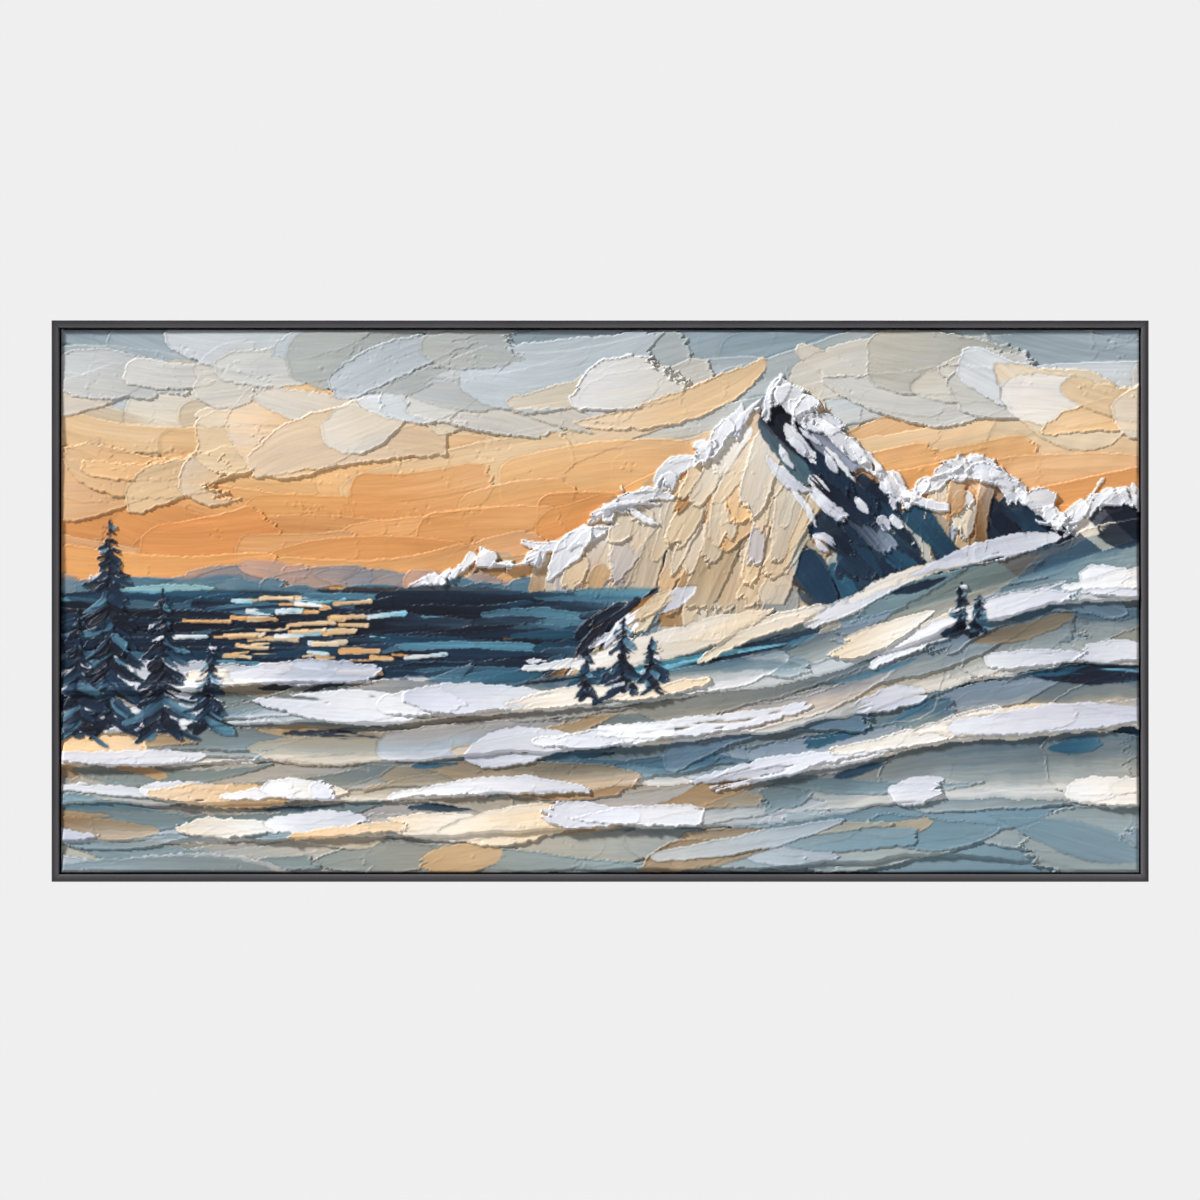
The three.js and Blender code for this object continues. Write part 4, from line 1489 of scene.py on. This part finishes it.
def pine(name, stretch):
    """Planed pine. The stretch is small along the grain and large across it."""
    material, tree, shader, place = new_material(name)
    drift = noise(tree, place, tuple(0.2 * s for s in stretch), 2.0)
    rings = noise(tree, place, stretch, 4.0, 0.6)
    fibre = noise(tree, place, tuple(9 * s for s in stretch), 3.0)
    grain = node(tree, "ShaderNodeValToRGB", {"Fac": rings})
    pine_stops = (
        (0.30, (0.66, 0.46, 0.26, 1)),
        (0.47, (0.80, 0.61, 0.38, 1)),
        (0.53, (0.70, 0.49, 0.27, 1)),
        (0.70, (0.84, 0.67, 0.44, 1)),
    )
    elements = grain.color_ramp.elements
    for index, (position, colour) in enumerate(pine_stops):
        element = elements[index] if index < 2 else elements.new(position)
        element.position = position
        element.color = colour
    tone = arithmetic(tree, "ADD", ranged(tree, fibre, 0.86, 1.06), ranged(tree, drift, -0.08, 0.08))
    colour = tinted(tree, grain.outputs[0], tone)
    finished(tree, shader, colour, ranged(tree, rings, 0.62, 0.78), fibre, 0.25, 0.0003)
    return material


def zinc_steel():
    material, tree, shader, place = new_material("zinc_steel")
    cloud = noise(tree, place, 260.0, 3.0)
    scratch = noise(tree, place, (300.0, 3000.0, 3000.0), 2.0)
    colour = tinted(tree, (0.66, 0.65, 0.61, 1), ranged(tree, cloud, 0.85, 1.1))
    finished(tree, shader, colour, ranged(tree, scratch, 0.28, 0.46), scratch, 0.15, 0.0001)
    shader.inputs["Metallic"].default_value = 1.0
    return material


def raw_canvas():
    """Unprimed cotton with a plain weave. Its sides, and a ragged strip behind them, are dark."""
    material, tree, shader, place = new_material("canvas")
    cloud = noise(tree, place, 9.0, 3.0)
    warp = noise(tree, place, (900.0, 60.0, 60.0), 1.0)
    weft = noise(tree, place, (60.0, 60.0, 900.0), 1.0)
    threads = arithmetic(tree, "ADD", warp, weft)
    tone = arithmetic(tree, "ADD", ranged(tree, threads, 0.88, 1.08, 0.75, 1.25),
                      ranged(tree, cloud, -0.06, 0.06))
    cloth = tinted(tree, (0.70, 0.62, 0.49, 1), tone)
    stray = ranged(tree, noise(tree, place, 90.0, 3.0), -1.6, 1.6)
    ragged = arithmetic(tree, "ADD", value_of(tree, "inset"), stray)
    dark = ranged(tree, ragged, 1.0, 0.0, 3.6, 4.2)
    colour = blended(tree, dark, cloth, (0.012, 0.012, 0.014, 1))
    finished(tree, shader, colour, ranged(tree, dark, 0.9, 0.6, 0.0, 1.0), threads, 0.4, 0.0004)
    return material


ALONG_X = (12.0, 260.0, 260.0)
ALONG_Z = (260.0, 260.0, 12.0)


def dress(material, prefix, *endings):
    """Gives the solids whose names start with the prefix, and end with an ending, their material."""
    for name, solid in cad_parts.items():
        if name.startswith(prefix) and name.endswith(endings or ("",)):
            solid.data.materials.clear()
            solid.data.materials.append(material)


def dress_solids(steel):
    dress(pine("pine_level", ALONG_X), "stretcher_bar_", "top", "bottom")
    upright = pine("pine_upright", ALONG_Z)
    dress(upright, "stretcher_bar_", "left", "right")
    dress(upright, "stretcher_brace")
    dress(steel, "frame_screw_")
    dress(steel, "hanger_")


# The stage

PHOTO_SIDE = 1200
PHOTO_FRAME_LEFT = 50.5
PHOTO_FRAME_RIGHT = 1149.8
PHOTO_MIDDLE_Y = 601.1
CAMERA_DISTANCE = 4.4
BACKGROUND = 0.863
FLOOR_DROP = 1.25
FLOOR_RADIUS = 4.0
FLOOR_FADE = 0.4
FLOOR_GREY = 0.62


def camera():
    """Straight ahead, with the frame as wide and as high in the view as in the photograph."""
    low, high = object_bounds()
    scale = (high.x - low.x) / (PHOTO_FRAME_RIGHT - PHOTO_FRAME_LEFT)
    seen = scale * PHOTO_SIDE
    data = bpy.data.cameras.new("camera")
    data.sensor_width = 36
    data.sensor_fit = "HORIZONTAL"
    data.lens = data.sensor_width * CAMERA_DISTANCE / seen
    made = added("camera", data)
    middle_x = (PHOTO_FRAME_LEFT + PHOTO_FRAME_RIGHT) / 2 - PHOTO_SIDE / 2
    middle_y = PHOTO_MIDDLE_Y - PHOTO_SIDE / 2
    made.location = (-middle_x * scale, low.y - CAMERA_DISTANCE, MIDDLE_Z + middle_y * scale)
    made.rotation_euler = (math.radians(90), 0, 0)
    bpy.context.scene.camera = made


def lamp(name, azimuth, elevation, strength, width):
    """A distant soft lamp. Azimuth 0 is straight ahead of the picture and 90 is at its right."""
    data = bpy.data.lights.new(name, "SUN")
    data.energy = strength
    data.angle = math.radians(width)
    made = added(name, data)
    turn = math.radians(azimuth)
    rise = math.radians(elevation)
    towards = Vector((math.sin(turn) * math.cos(rise), -math.cos(turn) * math.cos(rise), math.sin(rise)))
    made.rotation_euler = towards.to_track_quat("Z", "Y").to_euler()
    made.location = towards * 5


def surroundings():
    """A pale studio: its light on the object is softer than what the camera sees of it."""
    world = bpy.data.worlds.new("studio")
    bpy.context.scene.world = world
    world.use_nodes = True
    tree = world.node_tree
    tree.nodes.clear()
    seen = output_of(tree, "ShaderNodeBackground", {"Color": (BACKGROUND, BACKGROUND, BACKGROUND, 1)})
    lit = output_of(tree, "ShaderNodeBackground", {"Color": (0.95, 0.97, 1, 1), "Strength": 0.15})
    ray = node(tree, "ShaderNodeLightPath").outputs["Is Camera Ray"]
    mix = output_of(tree, "ShaderNodeMixShader", {0: ray, 1: lit, 2: seen})
    node(tree, "ShaderNodeOutputWorld", {0: mix})


def floor():
    """A round pale floor under the picture that fades into the studio."""
    turns = 96
    angles = np.arange(turns) * 2 * math.pi / turns
    rim = np.stack([FLOOR_RADIUS * np.cos(angles), FLOOR_RADIUS * np.sin(angles), np.zeros(turns)], 1)
    mesh = mesh_of("floor", rim, [np.arange(turns)[None, :]])
    material, tree, shader, place = new_material("floor")
    shader.inputs["Base Color"].default_value = (FLOOR_GREY, FLOOR_GREY, FLOOR_GREY, 1)
    shader.inputs["Roughness"].default_value = 0.9
    away = node(tree, "ShaderNodeVectorMath", {0: place}, operation="LENGTH").outputs["Value"]
    clear = output_of(tree, "ShaderNodeBsdfTransparent")
    fade = ranged(tree, away, 0, 1, FLOOR_FADE * FLOOR_RADIUS, FLOOR_RADIUS)
    faded = output_of(tree, "ShaderNodeMixShader", {0: fade, 1: shader.outputs[0], 2: clear})
    tree.links.new(faded, tree.nodes["Material Output"].inputs[0])
    mesh.materials.append(material)
    made = added("floor", mesh)
    made.location = (0, 0, MIDDLE_Z - FLOOR_DROP)
    made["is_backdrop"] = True


def stage():
    bpy.context.scene.view_settings.view_transform = "Standard"
    camera()
    surroundings()
    floor()
    lamp("key", -57, 40, 4.5, 8)
    lamp("fill", 30, 20, 0.2, 60)
    lamp("side", 102, 25, 1.3, 50)
    lamp("back", 165, 30, 1.4, 40)


steel = zinc_steel()
paint_blocks(oil_paint())
canvas_wrap(raw_canvas())
canvas_staples(steel)
rails(frame_lacquer())
dress_solids(steel)
stage()
